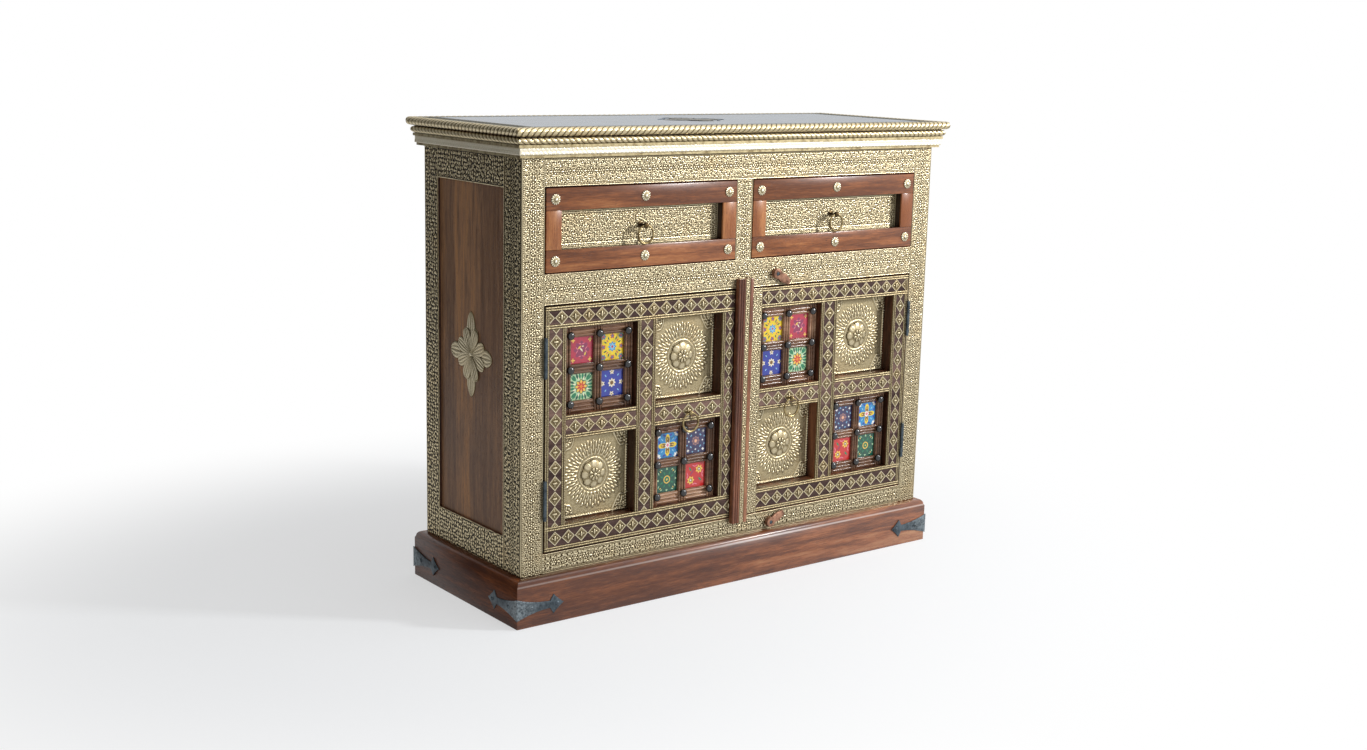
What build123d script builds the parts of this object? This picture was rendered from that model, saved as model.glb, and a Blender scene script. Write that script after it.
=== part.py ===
from build123d import *
import math
import os

# Moroccan carved cabinet: a low chest of sheesham wood with two drawers over two doors, clad in
# embossed brass sheet.  Millimetres, +Z up, front towards -Y, origin on the floor under the middle.

os.makedirs("parts", exist_ok=True)

# ---- Carcass ----------------------------------------------------------------------------------
body_width = 996.0  # over the brass of both sides
body_depth = 350.0  # over the brass of the front, and the same behind
sheet = 1.2  # embossed brass sheet

# ---- Heights, from the floor up -----------------------------------------------------------------
plinth_height = 90.0
plinth_flat = 77.0  # plain face under the plinth moulding
bottom_rail_face = 37.5
door_opening_height = 457.5
mid_rail_face = 57.0
drawer_opening_height = 152.5
top_rail_face = 52.5

# ---- Plinth -------------------------------------------------------------------------------------
plinth_proud = 18.0  # beyond the brass of the body
plinth_arris = 2.0
plinth_round = 10.0

# ---- Iron corner straps --------------------------------------------------------------------------
strap_thick = 2.0
strap_height = 37.0  # centre line above the floor
strap_arm = 101.0
strap_half = 20.5  # half height at the corner
strap_neck_at = 72.0
strap_neck_half = 6.5
strap_barb_at = 79.5
strap_barb_half = 18.5
strap_hollow = 3.0  # how far the taper bows in
nail_places = (29.0, 85.0)  # from the corner
nail_radius = 4.5
nail_rise = 2.5

# ---- Cornice and top -----------------------------------------------------------------------------
cornice_fillet = 5.0
cornice_fillet_proud = 10.5
cornice_band = 12.5
cornice_band_proud = 12.7
cornice_bead = 5.0
cornice_bead_proud = 15.5
lower_rope_radius = 7.0
lower_board_proud = 12.0
rope_gap = 0.5
upper_rope_radius = 8.0
upper_board_proud = 18.0
border_sunk = 1.0  # brass border below the crest of the upper rope
border_end = 45.0
border_front = 25.0
top_motif_length = 150.0
top_motif_depth = 140.0
motif_thick = 0.8
inlay_play = 0.1  # around the motif that is let into the top
side_motif_size = 162.0
side_motif_y = 8.0
side_motif_z = 472.5

# ---- Posts, rails and boards ---------------------------------------------------------------------
post_face = 47.5  # brass face of a front post
front_post_depth = 62.0  # over the front brass
rear_post_depth = 50.0
front_rail_depth = 22.0
side_rail_thick = 22.0
side_lower_rail = 64.0
side_upper_rail_face = 56.0  # below the cornice
side_panel_recess = 5.0
side_panel_thick = 10.0
rear_rail_depth = 22.0
back_panel_thick = 8.0
divider_face = 38.5
partition_thick = 18.0
bottom_board_thick = 18.0
bottom_board_drop = 1.5  # below the edge of the bottom rail
dust_board_thick = 15.0
guide_height = 20.0
outer_guide_width = 20.0
shelf_top = 363.0
shelf_thick = 16.0
shelf_end_gap = 0.5
cleat = 20.0
cleat_setback = 3.0  # behind the front edge of the shelf
door_stop_gap = 0.5  # closed doors stop against the front edge of the shelf

# ---- Drawers -------------------------------------------------------------------------------------
drawer_gap = 1.5
drawer_proud = 1.5
drawer_frame_depth = 18.0
drawer_rail = 40.0
drawer_stile = 32.5
drawer_panel_thick = 1.0
box_side_gap = 3.0
box_wall = 12.0
box_run_gap = 0.3  # above the dust board
box_height = 120.7
box_bottom = 6.0
box_bottom_raise = 6.0
box_back_gap = 0.5
stud_radius = 10.5
stud_rise = 4.0
stud_inset_x = 19.0
stud_inset_z = 20.0

# ---- Ring pulls ----------------------------------------------------------------------------------
ball_radius = 5.5
ring_wire = 1.7
ring_play = 0.35
post_stem_radius = 2.5
post_tang = 12.0
post_rose_radius = 6.0
post_rose = 1.5
drawer_ring_radius = 16.8
drawer_pull_reach = 19.0
drawer_pull_raise = 76.5  # pull centre above the drawer opening's edge
door_ring_radius = 18.3
door_pull_reach = 9.5
door_pull_drop = 4.0  # pull centre below the middle of the door's mid rail

# ---- Doors ---------------------------------------------------------------------------------------
door_gap = 2.0
meeting_x = -16.0  # left edge of the cover strip
meeting_clearance = 2.0
astragal_lap = 2.0
astragal_width = 36.0
astragal_thick = 12.0
astragal_overrun_top = 22.0
astragal_overrun_bottom = 12.5
astragal_relief = 0.4
astragal_round = 5.0
door_frame_depth = 25.0
door_back_board = 5.0
left_hinge_stile = 45.0
right_hinge_stile = 40.5
left_meeting_stile = 28.5
right_meeting_stile = 65.0
muntin = 44.0
door_top_rail = 41.5
door_mid_rail = 44.0
door_bottom_rail = 47.0
strip_edge = 8.8  # plain brass on each side of the lozenges
lozenge_pitch = 29.0
lozenge_line = 1.6  # brass left between a lozenge and its neighbours
top_row_start = 5.0  # first lozenge of the top rail from the hinge edge
tile = 50.0
tile_thick = 9.0
trellis_bar = 18.0
trellis_thick = 15.0
bead_radius = 7.0
bead_side_inset = 14.75  # outer beads from the sides of the trellis
bead_end_inset = 16.75  # and from its top and bottom
rosette_sheet = 1.0
rosette_boss_radius = 27.0
rosette_boss_rise = 9.0
wreath_outer_radius = 59.0
wreath_inner_radius = 38.0
wreath_rise = 2.0

# ---- Butt hinges ---------------------------------------------------------------------------------
hinge_length = 72.0
hinge_heights = (228.0, 491.0)
hinge_inset = 1.0  # axis from the hinge edge of the leaf
knuckle_radius = 3.5
knuckle_face_gap = 0.3
knuckle_gap = 0.3
hinge_pin_radius = 1.5
hinge_pin_play = 0.05
hinge_pin_head = 2.6
hinge_pin_head_thick = 1.5
hinge_leaf = 0.7
hinge_leaf_width = 25.0

# ---- Turn buttons --------------------------------------------------------------------------------
button_hub_radius = 10.0
button_hub_depth = 8.7
button_face_gap = 0.3
button_length = 38.0
button_belly_at = 20.0
button_belly_half = 9.5
button_tip_half = 5.0
button_plate = 4.0
button_stand_off = 2.5
button_x = (83.0, 87.0)  # over the door, under the door
button_rise = (24.0, -23.0)  # hub from the door opening's edges
button_tilt = (-30.0, 24.0)
button_recess_radius = 4.0
button_recess = 3.0
button_screw_radius = 2.2
button_screw_play = 0.05
button_screw_depth = 14.0
button_screw_head_radius = 3.6
button_screw_head = 2.2
button_head_gap = 0.3

# ---- Levels and faces worked out from the above --------------------------------------------------
half_width = body_width / 2
half_depth = body_depth / 2
wood_x = half_width - sheet
wood_y = half_depth - sheet
opening_x = half_width - post_face
half_divider = divider_face / 2
door_z0 = plinth_height + bottom_rail_face
door_z1 = door_z0 + door_opening_height
drawer_z0 = door_z1 + mid_rail_face
drawer_z1 = drawer_z0 + drawer_opening_height
cornice_z0 = drawer_z1 + top_rail_face
top_z0 = cornice_z0 + cornice_fillet + cornice_band + cornice_bead
upper_board_z0 = top_z0 + 2 * lower_rope_radius + rope_gap
top_z1 = upper_board_z0 + 2 * upper_rope_radius
border_z0 = top_z1 - border_sunk - sheet
front_post_back = -half_depth + front_post_depth
rear_post_front = wood_y - rear_post_depth
rail_back = -wood_y + front_rail_depth
rear_rail_front = wood_y - rear_rail_depth
back_panel_front = rear_rail_front - back_panel_thick
side_panel_x = half_width - side_panel_recess
side_rail_inner = wood_x - side_rail_thick
side_panel_z0 = plinth_height + side_lower_rail
side_panel_z1 = cornice_z0 - side_upper_rail_face


def save(shape, name):
    """Label a finished piece and write it as its own STEP file."""
    shape.label = name
    export_step(shape, f"parts/{name}.step")


def save_group(pieces, name):
    """Write pieces that touch each other as one node of separate solids."""
    save(Compound(children=pieces), name)


def board(x, y, z):
    """A straight board that fills three (low, high) ranges."""
    with BuildPart() as piece:
        with BuildSketch(Plane.XY.offset(z[0])):
            with Locations(((x[0] + x[1]) / 2, (y[0] + y[1]) / 2)):
                Rectangle(x[1] - x[0], y[1] - y[0])
        extrude(amount=z[1] - z[0])
    return piece.part


def both_sides(piece):
    """A piece of the left side and its mirror image on the right."""
    return [piece, mirror(piece, about=Plane.YZ)]


def mitred_runs(section, half_x, half_y, reach):
    """Four lengths of one moulding, mitred around a rectangle.

    The section lies with X pointing out of the rectangle and Y up, and reaches out by reach.
    """
    front_plane = Plane(origin=(0, -half_y, 0), x_dir=(0, -1, 0), z_dir=(-1, 0, 0))
    side_plane = Plane(origin=(-half_x, 0, 0), x_dir=(-1, 0, 0), z_dir=(0, 1, 0))
    with BuildPart() as front_run:
        with BuildSketch(front_plane):
            add(section)
        extrude(amount=half_x + reach, both=True)
        split(bisect_by=Plane(origin=(half_x, -half_y, 0), z_dir=(1, 1, 0)), keep=Keep.BOTTOM)
        split(bisect_by=Plane(origin=(-half_x, -half_y, 0), z_dir=(-1, 1, 0)), keep=Keep.BOTTOM)
    with BuildPart() as side_run:
        with BuildSketch(side_plane):
            add(section)
        extrude(amount=half_y + reach, both=True)
        split(bisect_by=Plane(origin=(-half_x, -half_y, 0), z_dir=(-1, 1, 0)), keep=Keep.TOP)
        split(bisect_by=Plane(origin=(-half_x, half_y, 0), z_dir=(1, 1, 0)), keep=Keep.BOTTOM)
    rear_run = mirror(front_run.part, about=Plane.XZ)
    return [front_run.part, rear_run] + both_sides(side_run.part)


def dome(seat, radius, rise):
    """A flat-backed domed head that stands on the plane seat."""
    profile = Plane(origin=seat.origin, x_dir=seat.x_dir, z_dir=-seat.y_dir)
    with BuildPart() as head:
        with BuildSketch(profile):
            with BuildLine():
                Polyline((radius, 0), (0, 0), (0, rise))
                TangentArc((0, rise), (radius, 0), tangent=(1, 0))
            make_face()
        revolve(axis=Axis(seat.origin, seat.z_dir))
    return head.part


def facing_front(x, y, z):
    """A plane at a point, X to the right, Y up and its normal out of the front."""
    return Plane(origin=(x, y, z), x_dir=(1, 0, 0), z_dir=(0, -1, 0))


# ---- Base ----------------------------------------------------------------------------------------
plinth_x = half_width + plinth_proud
plinth_y = half_depth + plinth_proud
plinth_thick = plinth_proud + sheet
with BuildSketch() as plinth_section:
    with BuildLine():
        Polyline(
            (0, 0),
            (plinth_thick, 0),
            (plinth_thick, plinth_flat),
            (plinth_thick - plinth_arris, plinth_flat),
            (plinth_thick - plinth_arris, plinth_height),
            (0, plinth_height),
            close=True,
        )
    make_face()
    fillet(plinth_section.vertices().group_by(Axis.Y)[-1].sort_by(Axis.X)[-1], plinth_round)
save_group(mitred_runs(plinth_section.sketch, wood_x, wood_y, plinth_thick), "plinth_boards")


def strap_outline():
    """Half arrow outline of a strap arm, X away from the corner."""
    taper_middle = (strap_neck_at / 2, (strap_half + strap_neck_half) / 2 - strap_hollow)
    point_middle = ((strap_barb_at + strap_arm) / 2, strap_barb_half / 2 - strap_hollow / 2)
    with BuildSketch() as arm:
        with BuildLine():
            Line((0, 0), (0, strap_half))
            ThreePointArc((0, strap_half), taper_middle, (strap_neck_at, strap_neck_half))
            Line((strap_neck_at, strap_neck_half), (strap_barb_at, strap_barb_half))
            ThreePointArc((strap_barb_at, strap_barb_half), point_middle, (strap_arm, 0))
            Line((strap_arm, 0), (0, 0))
        make_face()
        mirror(about=Plane.XZ)
    return arm.sketch


def corner_strap():
    """The strap and nails of the front left corner of the plinth."""
    outline = strap_outline()
    front = facing_front(-plinth_x - strap_thick, -plinth_y, strap_height)
    side = Plane(origin=(-plinth_x, -plinth_y - strap_thick, strap_height), z_dir=(-1, 0, 0), x_dir=(0, 1, 0))
    nails = []
    with BuildPart() as strap:
        for arm_plane in (front, side):
            with BuildSketch(arm_plane):
                add(outline)
            extrude(amount=strap_thick)
    for arm_plane in (front, side):
        for place in nail_places:
            seat = arm_plane.offset(strap_thick)
            seat.origin = seat.origin + arm_plane.x_dir * (place + strap_thick)
            nails.append(dome(seat, nail_radius, nail_rise))
    return [strap.part] + nails


front_left_strap = corner_strap()
front_right_strap = [mirror(piece, about=Plane.YZ) for piece in front_left_strap]
front_straps = front_left_strap + front_right_strap
rear_straps = [mirror(piece, about=Plane.XZ) for piece in front_straps]
save_group(front_straps + rear_straps, "corner_straps")

# ---- Posts and rails -----------------------------------------------------------------------------
front_post_wood = front_post_depth - sheet
post_middle_x = (wood_x + opening_x) / 2
post_thick = wood_x - opening_x
with BuildPart() as front_posts:
    with BuildSketch():
        with Locations((0, -wood_y + front_post_wood / 2)):
            with GridLocations(2 * post_middle_x, 0, 2, 1):
                Rectangle(post_thick, front_post_wood)
    extrude(amount=top_z0)
save(front_posts.part, "front_posts")

with BuildPart() as rear_posts:
    with BuildSketch():
        with Locations((0, wood_y - rear_post_depth / 2)):
            with GridLocations(2 * post_middle_x, 0, 2, 1):
                Rectangle(post_thick, rear_post_depth)
    extrude(amount=top_z0)
save(rear_posts.part, "rear_posts")

side_rail_y = (front_post_back, rear_post_front)
side_rail_x = (-wood_x, -side_rail_inner)
lower_side_rail = board(side_rail_x, side_rail_y, (plinth_height, side_panel_z0))
upper_side_rail = board(side_rail_x, side_rail_y, (side_panel_z1, top_z0))
save_group(both_sides(lower_side_rail) + both_sides(upper_side_rail), "side_rails")

side_panel_range = (-side_panel_x, -side_panel_x + side_panel_thick)
side_panel = board(side_panel_range, side_rail_y, (side_panel_z0, side_panel_z1))
save_group(both_sides(side_panel), "side_panels")

button_z = (door_z1 + button_rise[0], door_z0 + button_rise[1])
front_rail_levels = ((plinth_height, door_z0), (door_z1, drawer_z0), (drawer_z1, top_z0))
with BuildPart() as front_rails:
    for rail_bottom, rail_top in front_rail_levels:
        with BuildSketch(Plane.XY.offset(rail_bottom)):
            with Locations((0, -wood_y + front_rail_depth / 2)):
                Rectangle(2 * opening_x, front_rail_depth)
        extrude(amount=rail_top - rail_bottom)
    with BuildSketch(Plane.XZ.offset(wood_y)):
        with Locations(*zip(button_x, button_z)):
            Circle(button_screw_radius)
    extrude(amount=-button_screw_depth, mode=Mode.SUBTRACT)
save(front_rails.part, "front_rails")

divider = board((-half_divider, half_divider), (-wood_y, rail_back), (drawer_z0, drawer_z1))
save(divider, "drawer_divider")

rear_rail_y = (rear_rail_front, wood_y)
rear_rail_levels = ((plinth_height, side_panel_z0), (side_panel_z1, top_z0))
rear_rails = [board((-opening_x, opening_x), rear_rail_y, level) for level in rear_rail_levels]
save_group(rear_rails, "rear_rails")

back_panel = board((-opening_x, opening_x), (back_panel_front, rear_rail_front), (plinth_height, top_z0))
save(back_panel, "back_panel")


# ---- Boards inside -------------------------------------------------------------------------------
def notched_board(half_x, z0, z1):
    """A full-depth board that reaches between the posts to the sides."""
    with BuildPart() as piece:
        with BuildSketch(Plane.XY.offset(z0)):
            with Locations((0, (rail_back + back_panel_front) / 2)):
                Rectangle(2 * opening_x, back_panel_front - rail_back)
            with Locations((0, (front_post_back + rear_post_front) / 2)):
                Rectangle(2 * half_x, rear_post_front - front_post_back)
        extrude(amount=z1 - z0)
    return piece.part


bottom_board_top = door_z0 - bottom_board_drop
save(notched_board(side_rail_inner, bottom_board_top - bottom_board_thick, bottom_board_top), "bottom_board")
side_panel_inner = side_panel_x - side_panel_thick
save(notched_board(side_panel_inner, drawer_z0 - dust_board_thick, drawer_z0), "dust_board")

inside_y = (rail_back, back_panel_front)
half_partition = partition_thick / 2
save(board((-half_partition, half_partition), inside_y, (drawer_z0, top_z0)), "drawer_partition")

guide_z = (drawer_z0, drawer_z0 + guide_height)
inner_guide = board((-half_divider, -half_partition), inside_y, guide_z)
outer_guide = board((-opening_x - outer_guide_width, -opening_x), side_rail_y, guide_z)
save_group(both_sides(inner_guide) + both_sides(outer_guide), "drawer_guides")

door_back = -wood_y + door_frame_depth + door_back_board
shelf_front = door_back + door_stop_gap
shelf_half = opening_x - shelf_end_gap
shelf_z = (shelf_top - shelf_thick, shelf_top)
save(board((-shelf_half, shelf_half), (shelf_front, back_panel_front), shelf_z), "shelf")
cleat_z = (shelf_z[0] - cleat, shelf_z[0])
shelf_cleat_y = (shelf_front + cleat_setback, back_panel_front)
shelf_cleat = board((-opening_x, -opening_x + cleat), shelf_cleat_y, cleat_z)
save_group(both_sides(shelf_cleat), "shelf_cleats")

# ---- Top and cornice -----------------------------------------------------------------------------
lower_x = half_width + lower_board_proud
lower_y = half_depth + lower_board_proud
upper_x = half_width + upper_board_proud
upper_y = half_depth + upper_board_proud
lower_top_board = board((-lower_x, lower_x), (-lower_y, lower_y), (top_z0, upper_board_z0))
upper_top_board = board((-upper_x, upper_x), (-upper_y, upper_y), (upper_board_z0, border_z0))
save_group([lower_top_board, upper_top_board], "top_board")

panel_x = upper_x - border_end
panel_y = upper_y - border_front
border_z = (border_z0, border_z0 + sheet)
front_border = board((-upper_x, upper_x), (-upper_y, -panel_y), border_z)
rear_border = mirror(front_border, about=Plane.XZ)
end_border = board((-upper_x, -panel_x), (-panel_y, panel_y), border_z)
save_group([front_border, rear_border] + both_sides(end_border), "top_brass_border")


def quatrefoil(plane, length, width):
    """A four-lobed plate as thick as the brass motifs, length along the plane's X."""
    with BuildPart() as plate:
        with BuildSketch(plane):
            Rectangle(length / 2, width / 2)
            with Locations((-length / 4, 0), (length / 4, 0)):
                Ellipse(length / 4, width / 4)
            with Locations((0, -width / 4), (0, width / 4)):
                Ellipse(length / 4, width / 4)
        extrude(amount=motif_thick)
    return plate.part


left_panel_middle = (-side_panel_x, side_motif_y, side_motif_z)
left_panel_face = Plane(origin=left_panel_middle, x_dir=(0, -1, 0), z_dir=(-1, 0, 0))
side_motif = quatrefoil(left_panel_face, side_motif_size, side_motif_size)

# The motif of the top is let in flush, so that the top stays flat.
inlay_floor = Plane.XY.offset(border_z[1] - motif_thick)
top_motif = quatrefoil(inlay_floor, top_motif_length, top_motif_depth)
save_group([top_motif] + both_sides(side_motif), "brass_motifs")
with BuildPart() as top_panel:
    add(board((-panel_x, panel_x), (-panel_y, panel_y), border_z))
    recess_length = top_motif_length + 2 * inlay_play
    recess_depth = top_motif_depth + 2 * inlay_play
    add(quatrefoil(inlay_floor, recess_length, recess_depth), mode=Mode.SUBTRACT)
save(top_panel.part, "top_panel")

fillet_reach = cornice_fillet_proud + sheet
band_reach = cornice_band_proud + sheet
bead_reach = cornice_bead_proud + sheet
band_z = cornice_z0 + cornice_fillet
with BuildSketch() as cornice_section:
    with BuildLine():
        Polyline(
            (0, cornice_z0),
            (fillet_reach, cornice_z0),
            (fillet_reach, band_z),
            (band_reach, band_z),
            (band_reach, band_z + cornice_band),
            (bead_reach, band_z + cornice_band),
            (bead_reach, top_z0),
            (0, top_z0),
            close=True,
        )
    make_face()
save_group(mitred_runs(cornice_section.sketch, wood_x, wood_y, bead_reach), "cornice_moulding")


def rope_section(radius, centre_z):
    """Half-round section of a rope moulding that stands on a board's edge."""
    with BuildSketch() as half_round:
        with Locations((0, centre_z)):
            Circle(radius)
        with Locations((-radius / 2, centre_z)):
            Rectangle(radius, 2 * radius, mode=Mode.SUBTRACT)
    return half_round.sketch


lower_rope = rope_section(lower_rope_radius, top_z0 + lower_rope_radius)
save_group(mitred_runs(lower_rope, lower_x, lower_y, lower_rope_radius), "cornice_lower_rope")
upper_rope = rope_section(upper_rope_radius, upper_board_z0 + upper_rope_radius)
save_group(mitred_runs(upper_rope, upper_x, upper_y, upper_rope_radius), "cornice_upper_rope")

# ---- Brass sheets --------------------------------------------------------------------------------
front_sheet_y = (-half_depth, -wood_y)
sheet_z = (plinth_height, cornice_z0)
post_sheet = board((-half_width, -opening_x), front_sheet_y, sheet_z)
rail_sheets = [
    board((-opening_x, opening_x), front_sheet_y, (bottom, min(top, cornice_z0)))
    for bottom, top in front_rail_levels
]
for level, (place_x, place_z) in enumerate(zip(reversed(button_x), reversed(button_z))):
    with BuildPart() as drilled_sheet:
        add(rail_sheets[level])
        with BuildSketch(facing_front(place_x, -wood_y, place_z)):
            Circle(button_screw_radius)
        extrude(amount=sheet, mode=Mode.SUBTRACT)
    rail_sheets[level] = drilled_sheet.part
divider_sheet = board((-half_divider, half_divider), front_sheet_y, (drawer_z0, drawer_z1))
save_group(both_sides(post_sheet) + rail_sheets + [divider_sheet], "front_brass_sheet")

side_sheet_x = (-half_width, -wood_x)
side_sheets = [
    board(side_sheet_x, (-wood_y, front_post_back), sheet_z),
    board(side_sheet_x, (rear_post_front, wood_y), sheet_z),
    board(side_sheet_x, side_rail_y, (plinth_height, side_panel_z0)),
    board(side_sheet_x, side_rail_y, (side_panel_z1, cornice_z0)),
]
save_group(sum((both_sides(piece) for piece in side_sheets), []), "side_brass_sheets")


# ---- Ring pulls ----------------------------------------------------------------------------------
def pull_post(seat, reach, ring_radius):
    """Ball-headed post on the plane seat, its ball's centre at reach, with an eye along X.

    The eye is wider than the wire by the play and by the ring's own curve inside the ball.
    """
    ball_at = seat.origin + seat.z_dir * reach
    curve = ring_radius - math.sqrt(ring_radius**2 - ball_radius**2)
    neck = reach - math.sqrt(ball_radius**2 - post_stem_radius**2)
    profile = Plane(origin=seat.origin, x_dir=seat.x_dir, z_dir=-seat.y_dir)
    with BuildPart() as post:
        with BuildSketch(profile):
            with BuildLine():
                Polyline(
                    (0, reach + ball_radius),
                    (0, -post_tang),
                    (post_stem_radius, -post_tang),
                    (post_stem_radius, 0),
                    (post_rose_radius, 0),
                    (post_rose_radius, post_rose),
                    (post_stem_radius, post_rose),
                    (post_stem_radius, neck),
                )
                ThreePointArc((post_stem_radius, neck), (ball_radius, reach), (0, reach + ball_radius))
            make_face()
        revolve(axis=Axis(seat.origin, seat.z_dir))
        with BuildSketch(Plane(origin=ball_at, x_dir=(0, 1, 0), z_dir=(1, 0, 0))):
            Circle(ring_wire + ring_play + curve)
        extrude(amount=2 * ball_radius, both=True, mode=Mode.SUBTRACT)
    return post.part


def pull_ring(seat, reach, ring_radius):
    """The loose ring, hanging straight down from the eye of its post."""
    eye = seat.origin + seat.z_dir * reach
    with BuildPart() as ring:
        with Locations(Location(eye - Vector(0, 0, ring_radius), (90, 0, 0))):
            Torus(ring_radius, ring_wire)
    return ring.part


def drilled(piece, seat):
    """The piece with the hole for the tang of a pull post that stands on the plane seat."""
    with BuildPart() as bored:
        add(piece)
        with BuildSketch(seat):
            Circle(post_stem_radius)
        extrude(amount=-post_tang, mode=Mode.SUBTRACT)
    return bored.part


# ---- Drawers, made for the left opening and mirrored for the right --------------------------------
front_x0 = -opening_x + drawer_gap
front_x1 = -half_divider - drawer_gap
front_z0 = drawer_z0 + drawer_gap
front_z1 = drawer_z1 - drawer_gap
frame_y = (-half_depth - drawer_proud, -half_depth - drawer_proud + drawer_frame_depth)
window_x = (front_x0 + drawer_stile, front_x1 - drawer_stile)
window_z = (front_z0 + drawer_rail, front_z1 - drawer_rail)
drawer_middle_x = (front_x0 + front_x1) / 2
panel_face = frame_y[1] - drawer_panel_thick
drawer_seat = facing_front(drawer_middle_x, panel_face, drawer_z0 + drawer_pull_raise)

drawer_frame = [
    board((front_x0, front_x0 + drawer_stile), frame_y, window_z),
    board((front_x1 - drawer_stile, front_x1), frame_y, window_z),
    board((front_x0, front_x1), frame_y, (front_z0, window_z[0])),
    board((front_x0, front_x1), frame_y, (window_z[1], front_z1)),
]
drawer_panel = drilled(board(window_x, (panel_face, frame_y[1]), window_z), drawer_seat)

box_x = (-opening_x + box_side_gap, -half_divider - box_side_gap)
box_y = (frame_y[1], back_panel_front - box_back_gap)
box_z = (drawer_z0 + box_run_gap, drawer_z0 + box_run_gap + box_height)
box_inner_x = (box_x[0] + box_wall, box_x[1] - box_wall)
box_inner_y = (box_y[0] + box_wall, box_y[1] - box_wall)
box_floor_z = (box_z[0] + box_bottom_raise, box_z[0] + box_bottom_raise + box_bottom)
drawer_box = [
    drilled(board(box_inner_x, (box_y[0], box_inner_y[0]), box_z), drawer_seat),
    board(box_inner_x, (box_inner_y[1], box_y[1]), box_z),
    board((box_x[0], box_inner_x[0]), box_y, box_z),
    board((box_inner_x[1], box_x[1]), box_y, box_z),
    board(box_inner_x, box_inner_y, box_floor_z),
]

stud_x = (front_x0 + stud_inset_x, drawer_middle_x, front_x1 - stud_inset_x)
stud_z = (front_z0 + stud_inset_z, front_z1 - stud_inset_z)
drawer_studs = [dome(facing_front(x, frame_y[0], z), stud_radius, stud_rise) for x in stud_x for z in stud_z]

for drawer_name, hand in (("drawer_left", 0), ("drawer_right", 1)):
    save_group([both_sides(piece)[hand] for piece in drawer_frame], f"{drawer_name}_front_frame")
    save(both_sides(drawer_panel)[hand], f"{drawer_name}_brass_panel")
    save_group([both_sides(piece)[hand] for piece in drawer_box], f"{drawer_name}_box")
    save_group([both_sides(piece)[hand] for piece in drawer_studs], f"{drawer_name}_studs")
    post = pull_post(drawer_seat, drawer_pull_reach, drawer_ring_radius)
    save(both_sides(post)[hand], f"{drawer_name}_pull_post")
    ring = pull_ring(drawer_seat, drawer_pull_reach, drawer_ring_radius)
    save(both_sides(ring)[hand], f"{drawer_name}_pull_ring")

# ---- Butt hinges of the left door, mirrored for the right -----------------------------------------
leaf_hinge_x = -opening_x + door_gap
hinge_x = leaf_hinge_x - hinge_inset
hinge_y = -half_depth - knuckle_face_gap - knuckle_radius
knuckle_third = hinge_length / 3
knuckle_tall = knuckle_third - knuckle_gap
hinge_bore = hinge_pin_radius + hinge_pin_play


def hinge_half(height, plate_x, knuckle_levels):
    """One leaf of a hinge: its plate in the gap, and its knuckles about the pin."""
    with BuildPart() as half:
        with BuildSketch(Plane.XY.offset(height - hinge_length / 2)):
            with Locations((plate_x, -half_depth + hinge_leaf_width / 2)):
                Rectangle(hinge_leaf, hinge_leaf_width)
        extrude(amount=hinge_length)
        for level in knuckle_levels:
            with BuildSketch(Plane.XY.offset(height + level * knuckle_third - knuckle_tall / 2)):
                with Locations((hinge_x, hinge_y)):
                    Circle(knuckle_radius)
                with Locations((plate_x, (hinge_y - half_depth) / 2)):
                    Rectangle(hinge_leaf, -half_depth - hinge_y)
                with Locations((hinge_x, hinge_y)):
                    Circle(hinge_bore, mode=Mode.SUBTRACT)
            extrude(amount=knuckle_tall)
    return half.part


def hinge_pin(height):
    """The headed pin of one hinge."""
    with BuildPart() as pin:
        with BuildSketch(Plane.XY.offset(height - hinge_length / 2)):
            with Locations((hinge_x, hinge_y)):
                Circle(hinge_pin_radius)
        extrude(amount=hinge_length)
        for end in (-1, 1):
            with BuildSketch(Plane.XY.offset(height + end * hinge_length / 2)):
                with Locations((hinge_x, hinge_y)):
                    Circle(hinge_pin_head)
            extrude(amount=end * hinge_pin_head_thick)
    return pin.part


fixed_plate_x = -opening_x + hinge_leaf / 2
moving_plate_x = leaf_hinge_x - hinge_leaf / 2
fixed_hinges = [hinge_half(height, fixed_plate_x, (-1, 1)) for height in hinge_heights]
fixed_hinges += [hinge_pin(height) for height in hinge_heights]
save_group(sum((both_sides(piece) for piece in fixed_hinges), []), "hinge_posts")
moving_hinges = [hinge_half(height, moving_plate_x, (0,)) for height in hinge_heights]

# ---- Doors, made with the hinge on the left and mirrored for the right ----------------------------
leaf_z = (door_z0 + door_gap, door_z1 - door_gap)
frame_front = -wood_y
frame_back = -wood_y + door_frame_depth
rails_height = door_bottom_rail + door_mid_rail + door_top_rail
compartment_height = (leaf_z[1] - leaf_z[0] - rails_height) / 2
lower_z = (leaf_z[0] + door_bottom_rail, leaf_z[0] + door_bottom_rail + compartment_height)
upper_z = (lower_z[1] + door_mid_rail, leaf_z[1] - door_top_rail)
trellis_front = frame_back - trellis_thick


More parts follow.
